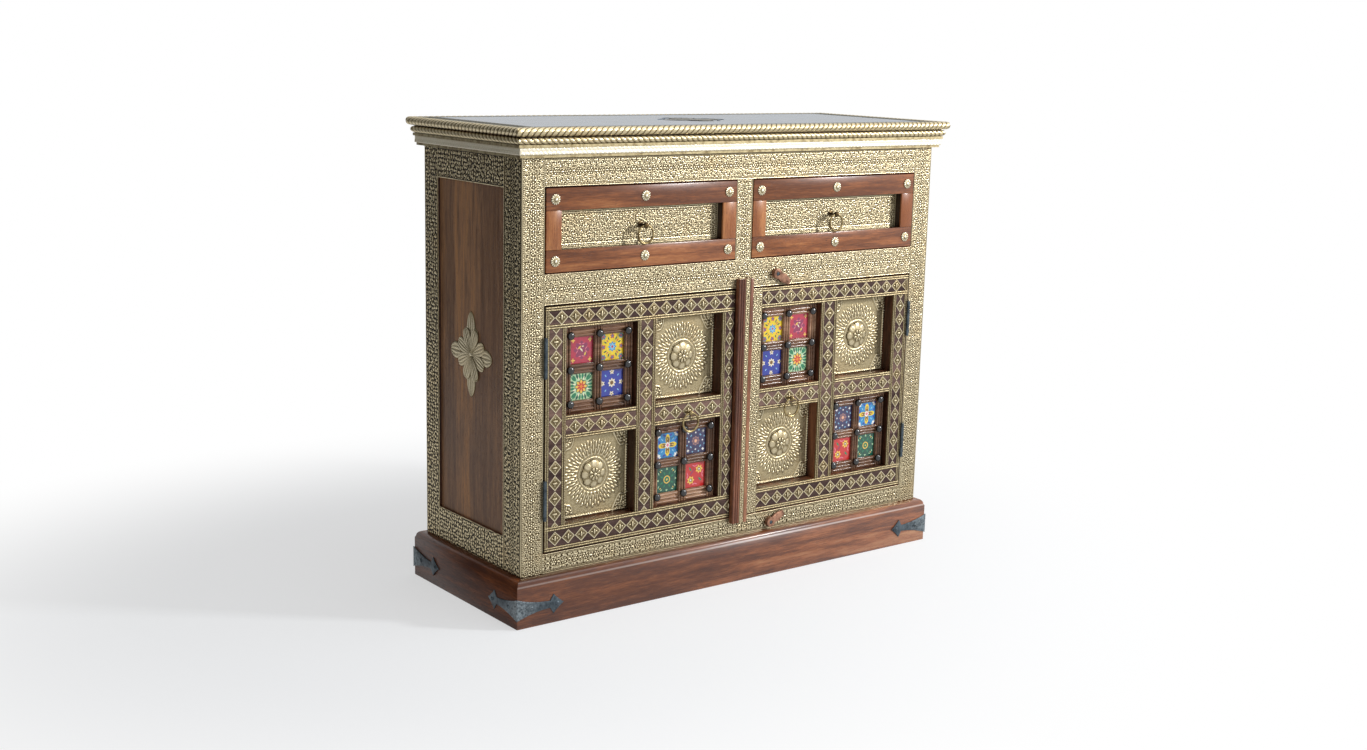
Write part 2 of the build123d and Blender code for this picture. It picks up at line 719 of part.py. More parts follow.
def lozenge_strip(x, z, along_x, first):
    """Brass strip over a frame member, cut through beside a row of lozenges.

    first is how far the middle of one lozenge lies from the strip's low end.
    """
    length = x[1] - x[0] if along_x else z[1] - z[0]
    width = z[1] - z[0] if along_x else x[1] - x[0]
    band_half = muntin / 2 - strip_edge
    half_base = lozenge_pitch / 2 - lozenge_line
    start = first % lozenge_pitch - lozenge_pitch / 2
    gaps = [start + step * lozenge_pitch for step in range(int(length // lozenge_pitch) + 2)]
    gaps = [at for at in gaps if strip_edge < at - half_base and at + half_base < length - strip_edge]
    with BuildPart() as strip:
        with BuildSketch(facing_front(x[0], frame_front, z[0])):
            Rectangle(x[1] - x[0], z[1] - z[0], align=(Align.MIN, Align.MIN))
            for at in gaps:
                for across in (1, -1):
                    corners = [
                        (at - half_base, width / 2 + across * band_half),
                        (at, width / 2 + across * lozenge_line),
                        (at + half_base, width / 2 + across * band_half),
                    ]
                    if not along_x:
                        corners = [(over, up) for up, over in corners]
                    Polygon(*corners, align=None, mode=Mode.SUBTRACT)
        extrude(amount=sheet)
    return strip.part


def panel_seat(x, z):
    """The plane on the back board at the middle of a compartment."""
    return facing_front((x[0] + x[1]) / 2, frame_back, (z[0] + z[1]) / 2)


def rosette(x, z):
    """Embossed sheet on the back board with a wreath and a domed boss."""
    seat = panel_seat(x, z)
    with BuildPart() as panel:
        with BuildSketch(seat):
            Rectangle(x[1] - x[0], z[1] - z[0])
        extrude(amount=rosette_sheet)
        with BuildSketch(seat.offset(rosette_sheet)):
            Circle(wreath_outer_radius)
            Circle(wreath_inner_radius, mode=Mode.SUBTRACT)
        extrude(amount=wreath_rise)
        add(dome(seat.offset(rosette_sheet), rosette_boss_radius, rosette_boss_rise))
    return panel.part


def trellis(x, z):
    """Wooden lattice with four square windows."""
    with BuildPart() as lattice:
        with BuildSketch(panel_seat(x, z)):
            Rectangle(x[1] - x[0], z[1] - z[0])
            with GridLocations(tile + trellis_bar, tile + trellis_bar, 2, 2):
                Rectangle(tile, tile, mode=Mode.SUBTRACT)
        extrude(amount=trellis_thick)
    return lattice.part


def glazed_tiles(x, z):
    """The four square tiles on the back board in the windows of a trellis."""
    tiles = []
    for place in GridLocations(tile + trellis_bar, tile + trellis_bar, 2, 2):
        with BuildPart() as piece:
            with BuildSketch(panel_seat(x, z)):
                with Locations(place):
                    Rectangle(tile, tile)
            extrude(amount=tile_thick)
        tiles.append(piece.part)
    return tiles


def trellis_beads(x, z):
    """Nine beads on the trellis front, at its crossings."""
    across = (x[0] + bead_side_inset, (x[0] + x[1]) / 2, x[1] - bead_side_inset)
    up = (z[0] + bead_end_inset, (z[0] + z[1]) / 2, z[1] - bead_end_inset)
    seats = [facing_front(at_x, trellis_front, at_z) for at_z in up for at_x in across]
    return [dome(seat, bead_radius, bead_radius) for seat in seats]


def door(name, hand, hinge_stile, meeting_stile, leaf_width, tiled):
    """Write every node of one door, hand 0 for the left and 1 for its mirror image.

    tiled holds the (column, level) of the tile compartments, column 0 at the hinge side.
    """
    edge = leaf_hinge_x + leaf_width
    compartment_width = (leaf_width - hinge_stile - muntin - meeting_stile) / 2
    first = (leaf_hinge_x + hinge_stile, leaf_hinge_x + hinge_stile + compartment_width)
    second = (first[1] + muntin, edge - meeting_stile)
    mid_z = (lower_z[1], upper_z[0])
    stile_z = (lower_z[0], upper_z[1])
    leaf_x = (leaf_hinge_x, edge)
    depth = (frame_front, frame_back)
    columns = (first, second)
    levels = (lower_z, upper_z)
    tiled_places = [(columns[column], levels[level]) for column, level in tiled]
    plain_places = [(columns[1 - column], levels[level]) for column, level in tiled]
    pull_height = (mid_z[0] + mid_z[1]) / 2 - door_pull_drop
    seat = facing_front((second[0] + second[1]) / 2, -half_depth, pull_height)
    stile_row = (stile_z[1] - stile_z[0] + lozenge_pitch) / 2
    mid_row = compartment_width / 2

    frame = [
        board((leaf_hinge_x, first[0]), depth, stile_z),
        board((second[1], edge), depth, stile_z),
        board(leaf_x, depth, (leaf_z[0], lower_z[0])),
        board(leaf_x, depth, (upper_z[1], leaf_z[1])),
        board((first[1], second[0]), depth, stile_z),
        board(first, depth, mid_z),
        drilled(board(second, depth, mid_z), seat),
        board(leaf_x, (frame_back, door_back), leaf_z),
    ]
    strips = [
        lozenge_strip((leaf_hinge_x, first[0]), stile_z, False, stile_row),
        lozenge_strip((first[1], second[0]), stile_z, False, stile_row),
        lozenge_strip(leaf_x, (leaf_z[0], lower_z[0]), True, strip_edge + lozenge_pitch / 2),
        lozenge_strip(leaf_x, (upper_z[1], leaf_z[1]), True, top_row_start),
        lozenge_strip(first, mid_z, True, mid_row),
        drilled(lozenge_strip(second, mid_z, True, mid_row), seat),
        board((second[1], edge), (-half_depth, frame_front), stile_z),
    ]
    nodes = {
        "frame": frame,
        "brass_strips": strips,
        "rosettes": [rosette(*place) for place in plain_places],
        "trellises": [trellis(*place) for place in tiled_places],
        "tiles": sum((glazed_tiles(*place) for place in tiled_places), []),
        "beads": sum((trellis_beads(*place) for place in tiled_places), []),
        "hinge_leaves": moving_hinges,
        "pull_post": [pull_post(seat, door_pull_reach, door_ring_radius)],
        "pull_ring": [pull_ring(seat, door_pull_reach, door_ring_radius)],
    }
    for node, pieces in nodes.items():
        save_group([both_sides(piece)[hand] for piece in pieces], f"{name}_{node}")


left_leaf = meeting_x - meeting_clearance - leaf_hinge_x
right_leaf = -(meeting_x + astragal_lap) - leaf_hinge_x
door("door_left", 0, left_hinge_stile, left_meeting_stile, left_leaf, ((0, 1), (1, 0)))
door("door_right", 1, right_hinge_stile, right_meeting_stile, right_leaf, ((1, 1), (0, 0)))

# The cover strip of the right door stands on its strips and laps the rails above and below with a
# small relief behind its ends.
astragal_x = (meeting_x, meeting_x + astragal_width)
astragal_z = (door_z0 + door_gap - astragal_overrun_bottom, door_z1 - door_gap + astragal_overrun_top)
with BuildPart() as astragal:
    with BuildSketch(Plane.XY.offset(astragal_z[0])):
        with Locations(((astragal_x[0] + astragal_x[1]) / 2, -half_depth - astragal_thick / 2)):
            Rectangle(astragal_width, astragal_thick)
    extrude(amount=astragal_z[1] - astragal_z[0])
    front_edges = astragal.edges().filter_by(Axis.Z).group_by(Axis.Y)[0]
    fillet(front_edges, astragal_round)
    for end_z in ((astragal_z[0], leaf_z[0]), (leaf_z[1], astragal_z[1])):
        add(board(astragal_x, (-half_depth - astragal_relief, -half_depth), end_z), mode=Mode.SUBTRACT)
    past_edge = (astragal_x[0], meeting_x + astragal_lap)
    add(board(past_edge, (-half_depth - astragal_relief, -half_depth), astragal_z), mode=Mode.SUBTRACT)
save(astragal.part, "door_right_astragal")


# ---- Turn buttons --------------------------------------------------------------------------------
def turn_button(x, z, tilt):
    """Hub and leaf-shaped paddle, turned up by tilt from pointing right."""
    lean = math.radians(tilt)
    along = (math.cos(lean), 0, math.sin(lean))
    plate = Plane(origin=(x, -half_depth - button_stand_off, z), x_dir=along, z_dir=(0, -1, 0))
    hub_back = facing_front(x, -half_depth - button_face_gap, z)
    hub_front = hub_back.offset(button_hub_depth)
    with BuildPart() as button:
        with BuildSketch(plate):
            with BuildLine():
                Polyline(
                    (0, -button_tip_half),
                    (button_belly_at, -button_belly_half),
                    (button_length, -button_tip_half),
                    (button_length, button_tip_half),
                    (button_belly_at, button_belly_half),
                    (0, button_tip_half),
                    close=True,
                )
            make_face()
        extrude(amount=button_plate)
        with BuildSketch(hub_back):
            Circle(button_hub_radius)
        extrude(amount=button_hub_depth)
        with BuildSketch(hub_front):
            Circle(button_recess_radius)
        extrude(amount=-button_recess, mode=Mode.SUBTRACT)
        with BuildSketch(hub_back):
            Circle(button_screw_radius + button_screw_play)
        extrude(amount=button_hub_depth, mode=Mode.SUBTRACT)
    return button.part


def button_screw(x, z):
    """The screw that a turn button turns on, its head sunk in the hub."""
    seat = facing_front(x, -wood_y, z)
    head_back = button_face_gap + button_hub_depth - button_recess + button_head_gap
    shank_out = sheet + head_back
    with BuildPart() as screw:
        with BuildSketch(seat.offset(-button_screw_depth)):
            Circle(button_screw_radius)
        extrude(amount=button_screw_depth + shank_out)
        with BuildSketch(seat.offset(shank_out)):
            Circle(button_screw_head_radius)
        extrude(amount=button_screw_head)
    return screw.part


button_names = ("latch_top", "latch_bottom")
for name, x, z, tilt in zip(button_names, button_x, button_z, button_tilt):
    save(turn_button(x, z, tilt), name)
save_group([button_screw(x, z) for x, z in zip(button_x, button_z)], "latch_screws")
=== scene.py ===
"""Moroccan carved cabinet: brass clad sideboard with two drawers and two panelled doors."""

import logging
import math
from contextlib import contextmanager
from dataclasses import KW_ONLY, dataclass, field
from enum import Enum
from typing import Callable, Iterable, Iterator, Sequence, Union

import bpy
import numpy as np
from mathutils import Matrix, Vector


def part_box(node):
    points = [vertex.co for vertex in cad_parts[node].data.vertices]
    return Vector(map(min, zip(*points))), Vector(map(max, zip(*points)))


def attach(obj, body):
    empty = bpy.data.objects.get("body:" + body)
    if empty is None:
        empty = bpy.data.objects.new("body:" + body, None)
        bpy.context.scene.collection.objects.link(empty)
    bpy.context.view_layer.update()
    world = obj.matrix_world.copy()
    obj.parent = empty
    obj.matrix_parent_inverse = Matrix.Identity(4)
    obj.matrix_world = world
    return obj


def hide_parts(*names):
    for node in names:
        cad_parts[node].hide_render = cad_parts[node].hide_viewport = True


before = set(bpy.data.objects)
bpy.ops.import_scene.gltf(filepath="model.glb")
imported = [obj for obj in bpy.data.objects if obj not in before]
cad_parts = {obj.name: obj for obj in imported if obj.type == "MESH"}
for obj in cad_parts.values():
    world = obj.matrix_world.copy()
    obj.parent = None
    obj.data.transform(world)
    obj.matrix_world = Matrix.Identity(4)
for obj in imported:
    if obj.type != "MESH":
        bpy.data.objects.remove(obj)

MM = 0.001
FRONT = (0, -1, 0)
LOG = logging.getLogger("cabinet")
Colour = tuple[float, float, float]
Pair = tuple[float, float]
Number = Union[float, "Signal"]
Spot = Sequence[float]
Piece = bpy.types.Object
Material = bpy.types.Material
Values = np.ndarray
Place = Callable[[Values, Values], Values]


def srgb(red: int, green: int, blue: int) -> Colour:
    """Turn a colour of 0 to 255 as seen on a screen into Blender's linear values.

    Args:
        red: Red from 0 to 255.
        green: Green from 0 to 255.
        blue: Blue from 0 to 255.

    Returns:
        The linear colour.
    """
    return tuple(((channel / 255 + 0.055) / 1.055) ** 2.4 for channel in (red, green, blue))


# ---- Shader graph ------------------------------------------------------------------------------


class Signal:
    """A shader value that Python's own operators work on."""

    def __init__(self, graph: "Graph", socket: bpy.types.NodeSocket) -> None:
        """Hold an output socket of a graph."""
        self.graph = graph
        self.socket = socket

    def maths(self, operation: str, *values: Number) -> "Signal":
        """Run a Math node on this signal.

        Args:
            operation: The Math node's operation.
            values: The other values, as numbers or signals.

        Returns:
            The node's result.
        """
        inputs = dict(enumerate((self, *values)))
        return self.graph.node("ShaderNodeMath", {"operation": operation}, inputs)

    def __add__(self, other: Number) -> "Signal":
        """Add."""
        return self.maths("ADD", other)

    def __sub__(self, other: Number) -> "Signal":
        """Subtract."""
        return self.maths("SUBTRACT", other)

    def __mul__(self, other: Number) -> "Signal":
        """Multiply."""
        return self.maths("MULTIPLY", other)

    def __truediv__(self, other: Number) -> "Signal":
        """Divide."""
        return self.maths("DIVIDE", other)

    def __rsub__(self, other: float) -> "Signal":
        """Take this from a number."""
        return self * -1 + other

    __radd__ = __add__
    __rmul__ = __mul__

    def __abs__(self) -> "Signal":
        """Drop the sign."""
        return self.maths("ABSOLUTE")

    def step(self, low: Number, high: Number) -> "Signal":
        """Rise smoothly from 0 to 1 as this goes from low to high.

        Args:
            low: Where the rise starts.
            high: Where it ends.

        Returns:
            A mask from 0 to 1.
        """
        settings = {"interpolation_type": "SMOOTHSTEP"}
        return self.graph.node("ShaderNodeMapRange", settings, {0: self, 1: low, 2: high})

    def below(self, edge: Number, soft: float = 0.03) -> "Signal":
        """Mask what is less than an edge, with a soft border."""
        return (edge - self if isinstance(edge, Signal) else self * -1 + edge).step(-soft, soft)


class Graph:
    """The node tree of one material, built from its shader backwards."""

    def __init__(self, name: str) -> None:
        """Make an empty material that ends in a Principled shader."""
        self.material = bpy.data.materials.new(name)
        self.material.use_nodes = True
        self.tree = self.material.node_tree
        self.shader = self.tree.nodes["Principled BSDF"]

    def plug(self, socket: bpy.types.NodeSocket, value: object) -> None:
        """Link a signal to an input socket, or set the socket to a constant."""
        if isinstance(value, Signal):
            self.tree.links.new(value.socket, socket)
        elif isinstance(value, tuple) and len(value) == 3 and socket.type == "RGBA":
            socket.default_value = (*value, 1.0)
        else:
            socket.default_value = value

    def node(self, kind: str, settings: dict, inputs: dict, output: Union[int, str] = 0) -> Signal:
        """Add a node.

        Args:
            kind: The node's type.
            settings: Its properties, set before its sockets.
            inputs: Its input sockets by name or number.
            output: The output that is wanted.

        Returns:
            That output as a signal.
        """
        made = self.tree.nodes.new(kind)
        for key, value in settings.items():
            if key == "stops":
                self.stops(made.color_ramp, value)
            else:
                setattr(made, key, value)
        for key, value in inputs.items():
            self.plug(made.inputs[key], value)
        return Signal(self, made.outputs[output])

    @staticmethod
    def stops(ramp: bpy.types.ColorRamp, stops: Sequence[tuple[float, Colour]]) -> None:
        """Give a ramp its stops, each a place and a colour."""
        while len(ramp.elements) < len(stops):
            ramp.elements.new(1.0)
        for element, (place, colour) in zip(ramp.elements, stops):
            element.position = place
            element.color = (*colour, 1.0)

    def ramp(self, value: Signal, *stops: tuple[float, Colour]) -> Signal:
        """Colour a value from 0 to 1 by stops."""
        return self.node("ShaderNodeValToRGB", {"stops": stops}, {0: value})

    def blend(self, amount: Number, first: object, second: object) -> Signal:
        """Mix two colours, all of the second where amount is 1."""
        return self.node("ShaderNodeMix", {"data_type": "RGBA"}, {0: amount, 6: first, 7: second}, 2)

    def tint(self, amount: Number, first: object, second: object) -> Signal:
        """Multiply two colours by an amount from 0 to 1."""
        settings = {"data_type": "RGBA", "blend_type": "MULTIPLY"}
        return self.node("ShaderNodeMix", settings, {0: amount, 6: first, 7: second}, 2)

    def place(self, scale: Spot = (1, 1, 1), shift: Spot = (0, 0, 0)) -> Signal:
        """The object's own coordinates, stretched and moved."""
        spot = self.node("ShaderNodeTexCoord", {}, {}, "Object")
        return self.node("ShaderNodeMapping", {}, {"Vector": spot, "Location": shift, "Scale": scale})

    def axis(self, spot: Signal, name: str) -> Signal:
        """One of the three coordinates of a place."""
        return self.node("ShaderNodeSeparateXYZ", {}, {"Vector": spot}, name)

    def noise(self, spot: Signal, scale: float, detail: float = 3.0, rough: float = 0.5) -> Signal:
        """Cloudy noise from 0 to 1."""
        inputs = {"Vector": spot, "Scale": scale, "Detail": detail, "Roughness": rough}
        return self.node("ShaderNodeTexNoise", {}, inputs)

    def cells(self, spot: Signal, scale: float, feature: str = "F1") -> Signal:
        """Distance to the nearest of scattered points."""
        return self.node("ShaderNodeTexVoronoi", {"feature": feature}, {"Vector": spot, "Scale": scale})

    def attribute(self, name: str) -> Signal:
        """A number that the mesh carries at each vertex."""
        return self.node("ShaderNodeAttribute", {"attribute_name": name}, {}, "Fac")

    def bump(self, height: Signal, depth: float, strength: float = 1.0) -> Signal:
        """Surface normals for a height from 0 to 1 and a depth in metres."""
        return self.node("ShaderNodeBump", {}, {"Height": height, "Distance": depth, "Strength": strength})

    def finish(self, **sockets: object) -> Material:
        """Set the shader's sockets, whose names have _ for a space, and return the material."""
        for key, value in sockets.items():
            self.plug(self.shader.inputs[key.replace("_", " ")], value)
        return self.material


# ---- Finishes ----------------------------------------------------------------------------------


class Grain(Enum):
    """Which way the grain of a board runs, as the stretch of its pattern."""

    ALONG_X = (0.08, 1.0, 1.0)
    ALONG_Y = (1.0, 0.08, 1.0)
    ALONG_Z = (1.0, 1.0, 0.08)


@dataclass(frozen=True)
class SheeshamWood:
    """Polished sheesham with dark streaks and paler sapwood, under wax; where asked, with painted shade in
    recesses and a painted highlight along an edge.
    """

    name: str
    grain: Grain
    shift: float = 0.0
    dark: Colour = srgb(50, 28, 20)
    middle: Colour = srgb(104, 62, 42)
    light: Colour = srgb(150, 98, 66)
    figure: float = 1.0
    polish: float = 0.2
    streak: float = 0.6
    gloss: float = 0.27
    # recess_shade_from: from this depth in Y inwards the colour is darkened: painted shade in recesses and
    # gaps.
    recess_shade_from: float = 0.0
    # highlight_line_at: the height of a pale line along an edge, a painted highlight.
    highlight_line_at: float = 0.0

    def make(self) -> Material:
        """Build the material."""
        graph = Graph(self.name)
        along = graph.place(self.grain.value, (self.shift, self.shift * 1.7, self.shift * 0.6))
        broad = graph.noise(along, 12.0, 3.0, 0.55)
        veins = graph.noise(along, 95.0, 4.0, 0.65)
        fibre = graph.noise(along, 560.0, 2.0, 0.5)
        bands = (broad * 10.0 * self.figure + veins * 1.5).maths("SINE") * 0.5 + 0.5
        tone = (bands * 0.32 + veins * 0.62 + (fibre - 0.5) * 0.3).step(0.2, 0.78)
        colour = graph.ramp(tone, (0.0, self.dark), (0.45, self.middle), (1.0, self.light))
        streak = graph.noise(along, 30.0, 3.0, 0.6).step(0.58, 0.7)
        colour = graph.tint(streak * self.streak, colour, srgb(128, 92, 72))
        pores = graph.noise(along, 1100.0, 1.0).step(0.62, 0.72)
        colour = graph.tint(pores * 0.5, colour, srgb(84, 52, 38))
        # Painted shade: behind this depth the wood is darkened, as if the jambs and gaps lay in shadow.
        if self.recess_shade_from:
            depth = graph.axis(graph.place(), "Y").step(self.recess_shade_from, self.recess_shade_from + 0.0025)
            colour = graph.tint(depth, colour, srgb(78, 54, 44))
        # A pale, patchy line along the arris at this height: a painted highlight.
        if self.highlight_line_at:
            arris = abs(graph.axis(graph.place(), "Z") - self.highlight_line_at).below(0.0013, 0.0007)
            colour = graph.blend(arris * broad * 0.9, colour, srgb(222, 204, 194))
        rough = tone * 0.14 + 0.3 + pores * 0.15
        normal = graph.bump(fibre * 0.4 + veins * 0.4 - pores * 0.5, 0.0003)
        return graph.finish(Base_Color=colour, Roughness=rough, Normal=normal, Coat_Weight=self.polish,
                            Coat_Roughness=self.gloss, Specular_IOR_Level=0.15)


@dataclass(frozen=True)
class EmbossedBrass:
    """Thin brass beaten over a pattern: bright on the heights, dark polish left in the hollows.

    The attribute "relief" is 0 deep in a hollow, 0.5 on a plain ground and 1 on a height.
    """

    name: str
    hollow: Colour = srgb(60, 49, 31)
    flank: Colour = srgb(118, 103, 73)
    ground: Colour = srgb(160, 146, 113)
    height: Colour = srgb(220, 208, 176)
    metallic: float = 0.8

    def make(self) -> Material:
        """Build the material."""
        graph = Graph(self.name)
        relief = graph.attribute("relief")
        spot = graph.place()
        clouds = graph.noise(spot, 14.0, 3.0)
        specks = graph.noise(spot, 700.0, 2.0)
        dimples = graph.cells(spot, 420.0)
        level = relief + (clouds - 0.5) * 0.14 + (specks - 0.5) * 0.42 + (0.5 - dimples) * 0.1
        colour = graph.ramp(level.maths("MAXIMUM", 0.0), (0.06, self.hollow), (0.3, self.flank),
                            (0.5, self.ground), (0.85, self.height))
        warm = clouds.step(0.5, 0.78) * 0.3
        colour = graph.tint(warm, colour, srgb(232, 202, 150))
        rough = 0.5 - level.step(0.25, 0.9) * 0.2 + (specks - 0.5) * 0.12
        normal = graph.bump(specks * 0.4 - dimples * 0.5, 0.0004, 0.8)
        return graph.finish(Base_Color=colour, Metallic=self.metallic, Roughness=rough, Normal=normal)


@dataclass(frozen=True)
class CastBrass:
    """Solid brass, worn bright, with brown in the dips."""

    name: str
    bright: Colour = srgb(198, 182, 136)
    dull: Colour = srgb(124, 104, 66)
    metallic: float = 0.9
    rough: float = 0.3

    def make(self) -> Material:
        """Build the material."""
        graph = Graph(self.name)
        spot = graph.place()
        clouds = graph.noise(spot, 90.0, 4.0, 0.6)
        scratches = graph.noise(graph.place((1.0, 1.0, 6.0)), 500.0, 2.0)
        tone = (clouds + (scratches - 0.5) * 0.5).step(0.3, 0.62)
        colour = graph.blend(tone, self.dull, self.bright)
        rough = self.rough + (1 - tone) * 0.2
        normal = graph.bump(clouds + scratches * 0.4, 0.0003, 0.7)
        return graph.finish(Base_Color=colour, Metallic=self.metallic, Roughness=rough, Normal=normal)


@dataclass(frozen=True)
class BlackIron:
    """Hand-forged iron, blackened, with hammer marks."""

    name: str
    dark: Colour = srgb(36, 44, 50)
    pale: Colour = srgb(96, 108, 116)
    worn: Colour = srgb(168, 178, 182)

    def make(self) -> Material:
        """Build the material."""
        graph = Graph(self.name)
        spot = graph.place()
        hammer = graph.cells(spot, 110.0)
        scale = graph.noise(spot, 240.0, 4.0, 0.65)
        broad = graph.noise(spot, 40.0, 2.0)
        tone = (hammer * 0.25 + scale * 0.6 + broad * 0.6).step(0.4, 1.1)
        colour = graph.blend(tone, self.dark, self.pale)
        corner = abs(graph.axis(spot, "X")).step(0.452, 0.522) * abs(graph.axis(spot, "Y")).step(0.15, 0.2)
        colour = graph.blend(corner * scale.step(0.3, 0.7) * 0.6, colour, self.worn)
        rough = 0.5 - tone * 0.15
        normal = graph.bump(hammer * 0.5 + scale * 0.2, 0.0006, 0.6)
        return graph.finish(Base_Color=colour, Metallic=0.7, Roughness=rough, Normal=normal)


@dataclass(frozen=True)
class LacqueredTop:
    """Dark wood under a thick clear lacquer, its colour tinted blue: the blue is a painted reflection of a
    blue-grey surrounding.
    """

    name: str

    def make(self) -> Material:
        """Build the material."""
        graph = Graph(self.name)
        spot = graph.place((0.1, 1.0, 1.0))
        broad = graph.noise(spot, 11.0, 4.0, 0.6)
        fibre = graph.noise(spot, 260.0, 2.0)
        tone = (broad + (fibre - 0.5) * 0.3).step(0.3, 0.7)
        # The blue colours are a painted reflection of a blue-grey surrounding on the lacquer.
        colour = graph.blend(tone, srgb(20, 50, 72), srgb(36, 72, 96))
        rough = 0.16 + fibre * 0.08
        return graph.finish(Base_Color=colour, Roughness=rough, Normal=graph.bump(fibre, 0.00005),
                            Specular_IOR_Level=0.25)


@dataclass(frozen=True)
class BlackGlass:
    """Glossy black beads."""

    name: str

    def make(self) -> Material:
        """Build the material."""
        graph = Graph(self.name)
        clouds = graph.noise(graph.place(), 200.0, 2.0)
        colour = graph.blend(clouds, srgb(3, 4, 6), srgb(12, 15, 20))
        return graph.finish(Base_Color=colour, Roughness=clouds * 0.05 + 0.2, Specular_IOR_Level=0.8)


# ---- Painted tiles -----------------------------------------------------------------------------


class Mirror(Enum):
    """How often a figure is repeated: once, in each quarter, or on both sides of each diagonal."""

    ONCE = 1
    FOUR = 4
    EIGHT = 8


@dataclass(frozen=True)
class Brushed:
    """One painted figure of a tile that runs from -1 to 1 each way."""

    colour: Colour
    _: KW_ONLY
    at: Pair = (0.0, 0.0)
    mirror: Mirror = Mirror.ONCE

    def local(self, x: Signal, y: Signal) -> tuple[Signal, Signal]:
        """The coordinates about the figure's centre.

        Args:
            x: The tile's coordinate across.
            y: The tile's coordinate up.

        Returns:
            Both coordinates after folding and centring.
        """
        if self.mirror is not Mirror.ONCE:
            x, y = abs(x), abs(y)
        if self.mirror is Mirror.EIGHT:
            x, y = x.maths("MAXIMUM", y), x.maths("MINIMUM", y)
        return x - self.at[0], y - self.at[1]

    def mask(self, x: Signal, y: Signal) -> Signal:
        """Where the figure's paint lies."""
        raise NotImplementedError


@dataclass(frozen=True)
class Bloom(Brushed):
    """A flower whose edge swings between two radii."""

    petals: int
    outer: float
    inner: float
    turn: float = 0.0

    def mask(self, x: Signal, y: Signal) -> Signal:
        """Where the flower is painted."""
        across, up = self.local(x, y)
        radius = (across * across + up * up).maths("SQRT")
        angle = up.maths("ARCTAN2", across)
        wave = ((angle + self.turn) * self.petals).maths("COSINE") * 0.5 + 0.5
        return radius.below(wave * (self.outer - self.inner) + self.inner)


@dataclass(frozen=True)
class Hoop(Brushed):
    """A ring of even width."""

    radius: float
    half_width: float

    def mask(self, x: Signal, y: Signal) -> Signal:
        """Where the ring is painted."""
        across, up = self.local(x, y)
        radius = (across * across + up * up).maths("SQRT")
        return abs(radius - self.radius).below(self.half_width)


@dataclass(frozen=True)
class Leaflet(Brushed):
    """A pointed stroke, leaning by an angle."""

    half_length: float
    half_width: float
    lean: float = 0.0

    def mask(self, x: Signal, y: Signal) -> Signal:
        """Where the stroke is painted."""
        across, up = self.local(x, y)
        along = (across * math.cos(self.lean) + up * math.sin(self.lean)) / self.half_length
        aside = (up * math.cos(self.lean) - across * math.sin(self.lean)) / self.half_width
        return (abs(along).maths("POWER", 1.5) + abs(aside)).below(1.0, 0.18)


@dataclass(frozen=True)
class TileGlaze:
    """A glazed tile: a ground colour and the figures painted on it, under clear glaze."""

    name: str
    ground: Colour
    figures: tuple[Brushed, ...]

    def make(self) -> Material:
        """Build the material."""
        graph = Graph(self.name)
        uv = graph.node("ShaderNodeUVMap", {"uv_map": "tile"}, {})
        wobble = graph.noise(graph.place(), 160.0, 2.0) - 0.5
        x = graph.axis(uv, "X") * 2.0 - 1.0 + wobble * 0.06
        y = graph.axis(uv, "Y") * 2.0 - 1.0 + wobble * 0.05
        wash = graph.noise(graph.place(), 70.0, 3.0)
        shade = tuple(channel * 0.62 for channel in self.ground)
        colour = graph.blend(wash.step(0.45, 0.7) * 0.6, self.ground, shade)
        for figure in self.figures:
            colour = graph.blend(figure.mask(x, y), colour, figure.colour)
        crackle = graph.cells(graph.place(), 500.0)
        normal = graph.bump(wash + crackle * 0.1, 0.0004, 0.5)
        return graph.finish(Base_Color=colour, Roughness=0.12 + wash * 0.12, Coat_Weight=0.5, Normal=normal)


class Paint:
    """The colours of the tile painter's palette."""

    CRIMSON = srgb(186, 50, 76)
    PLUM = srgb(142, 52, 88)
    SLATE = srgb(84, 122, 142)
    RED = srgb(198, 44, 44)
    GOLD = srgb(238, 196, 84)
    YELLOW = srgb(240, 208, 40)
    ORANGE = srgb(236, 138, 40)
    CREAM = srgb(240, 228, 196)
    WHITE = srgb(246, 244, 236)
    AZURE = srgb(44, 138, 196)
    SKY = srgb(140, 196, 226)
    ROYAL = srgb(46, 62, 160)
    INDIGO = srgb(54, 52, 92)
    GREEN = srgb(28, 124, 84)
    DARK_GREEN = srgb(18, 84, 66)
    MINT = srgb(186, 220, 172)
    PEACH = srgb(238, 178, 140)
    PINK = srgb(226, 120, 140)
    BROWN = srgb(122, 84, 34)
    CLAY = srgb(160, 118, 112)


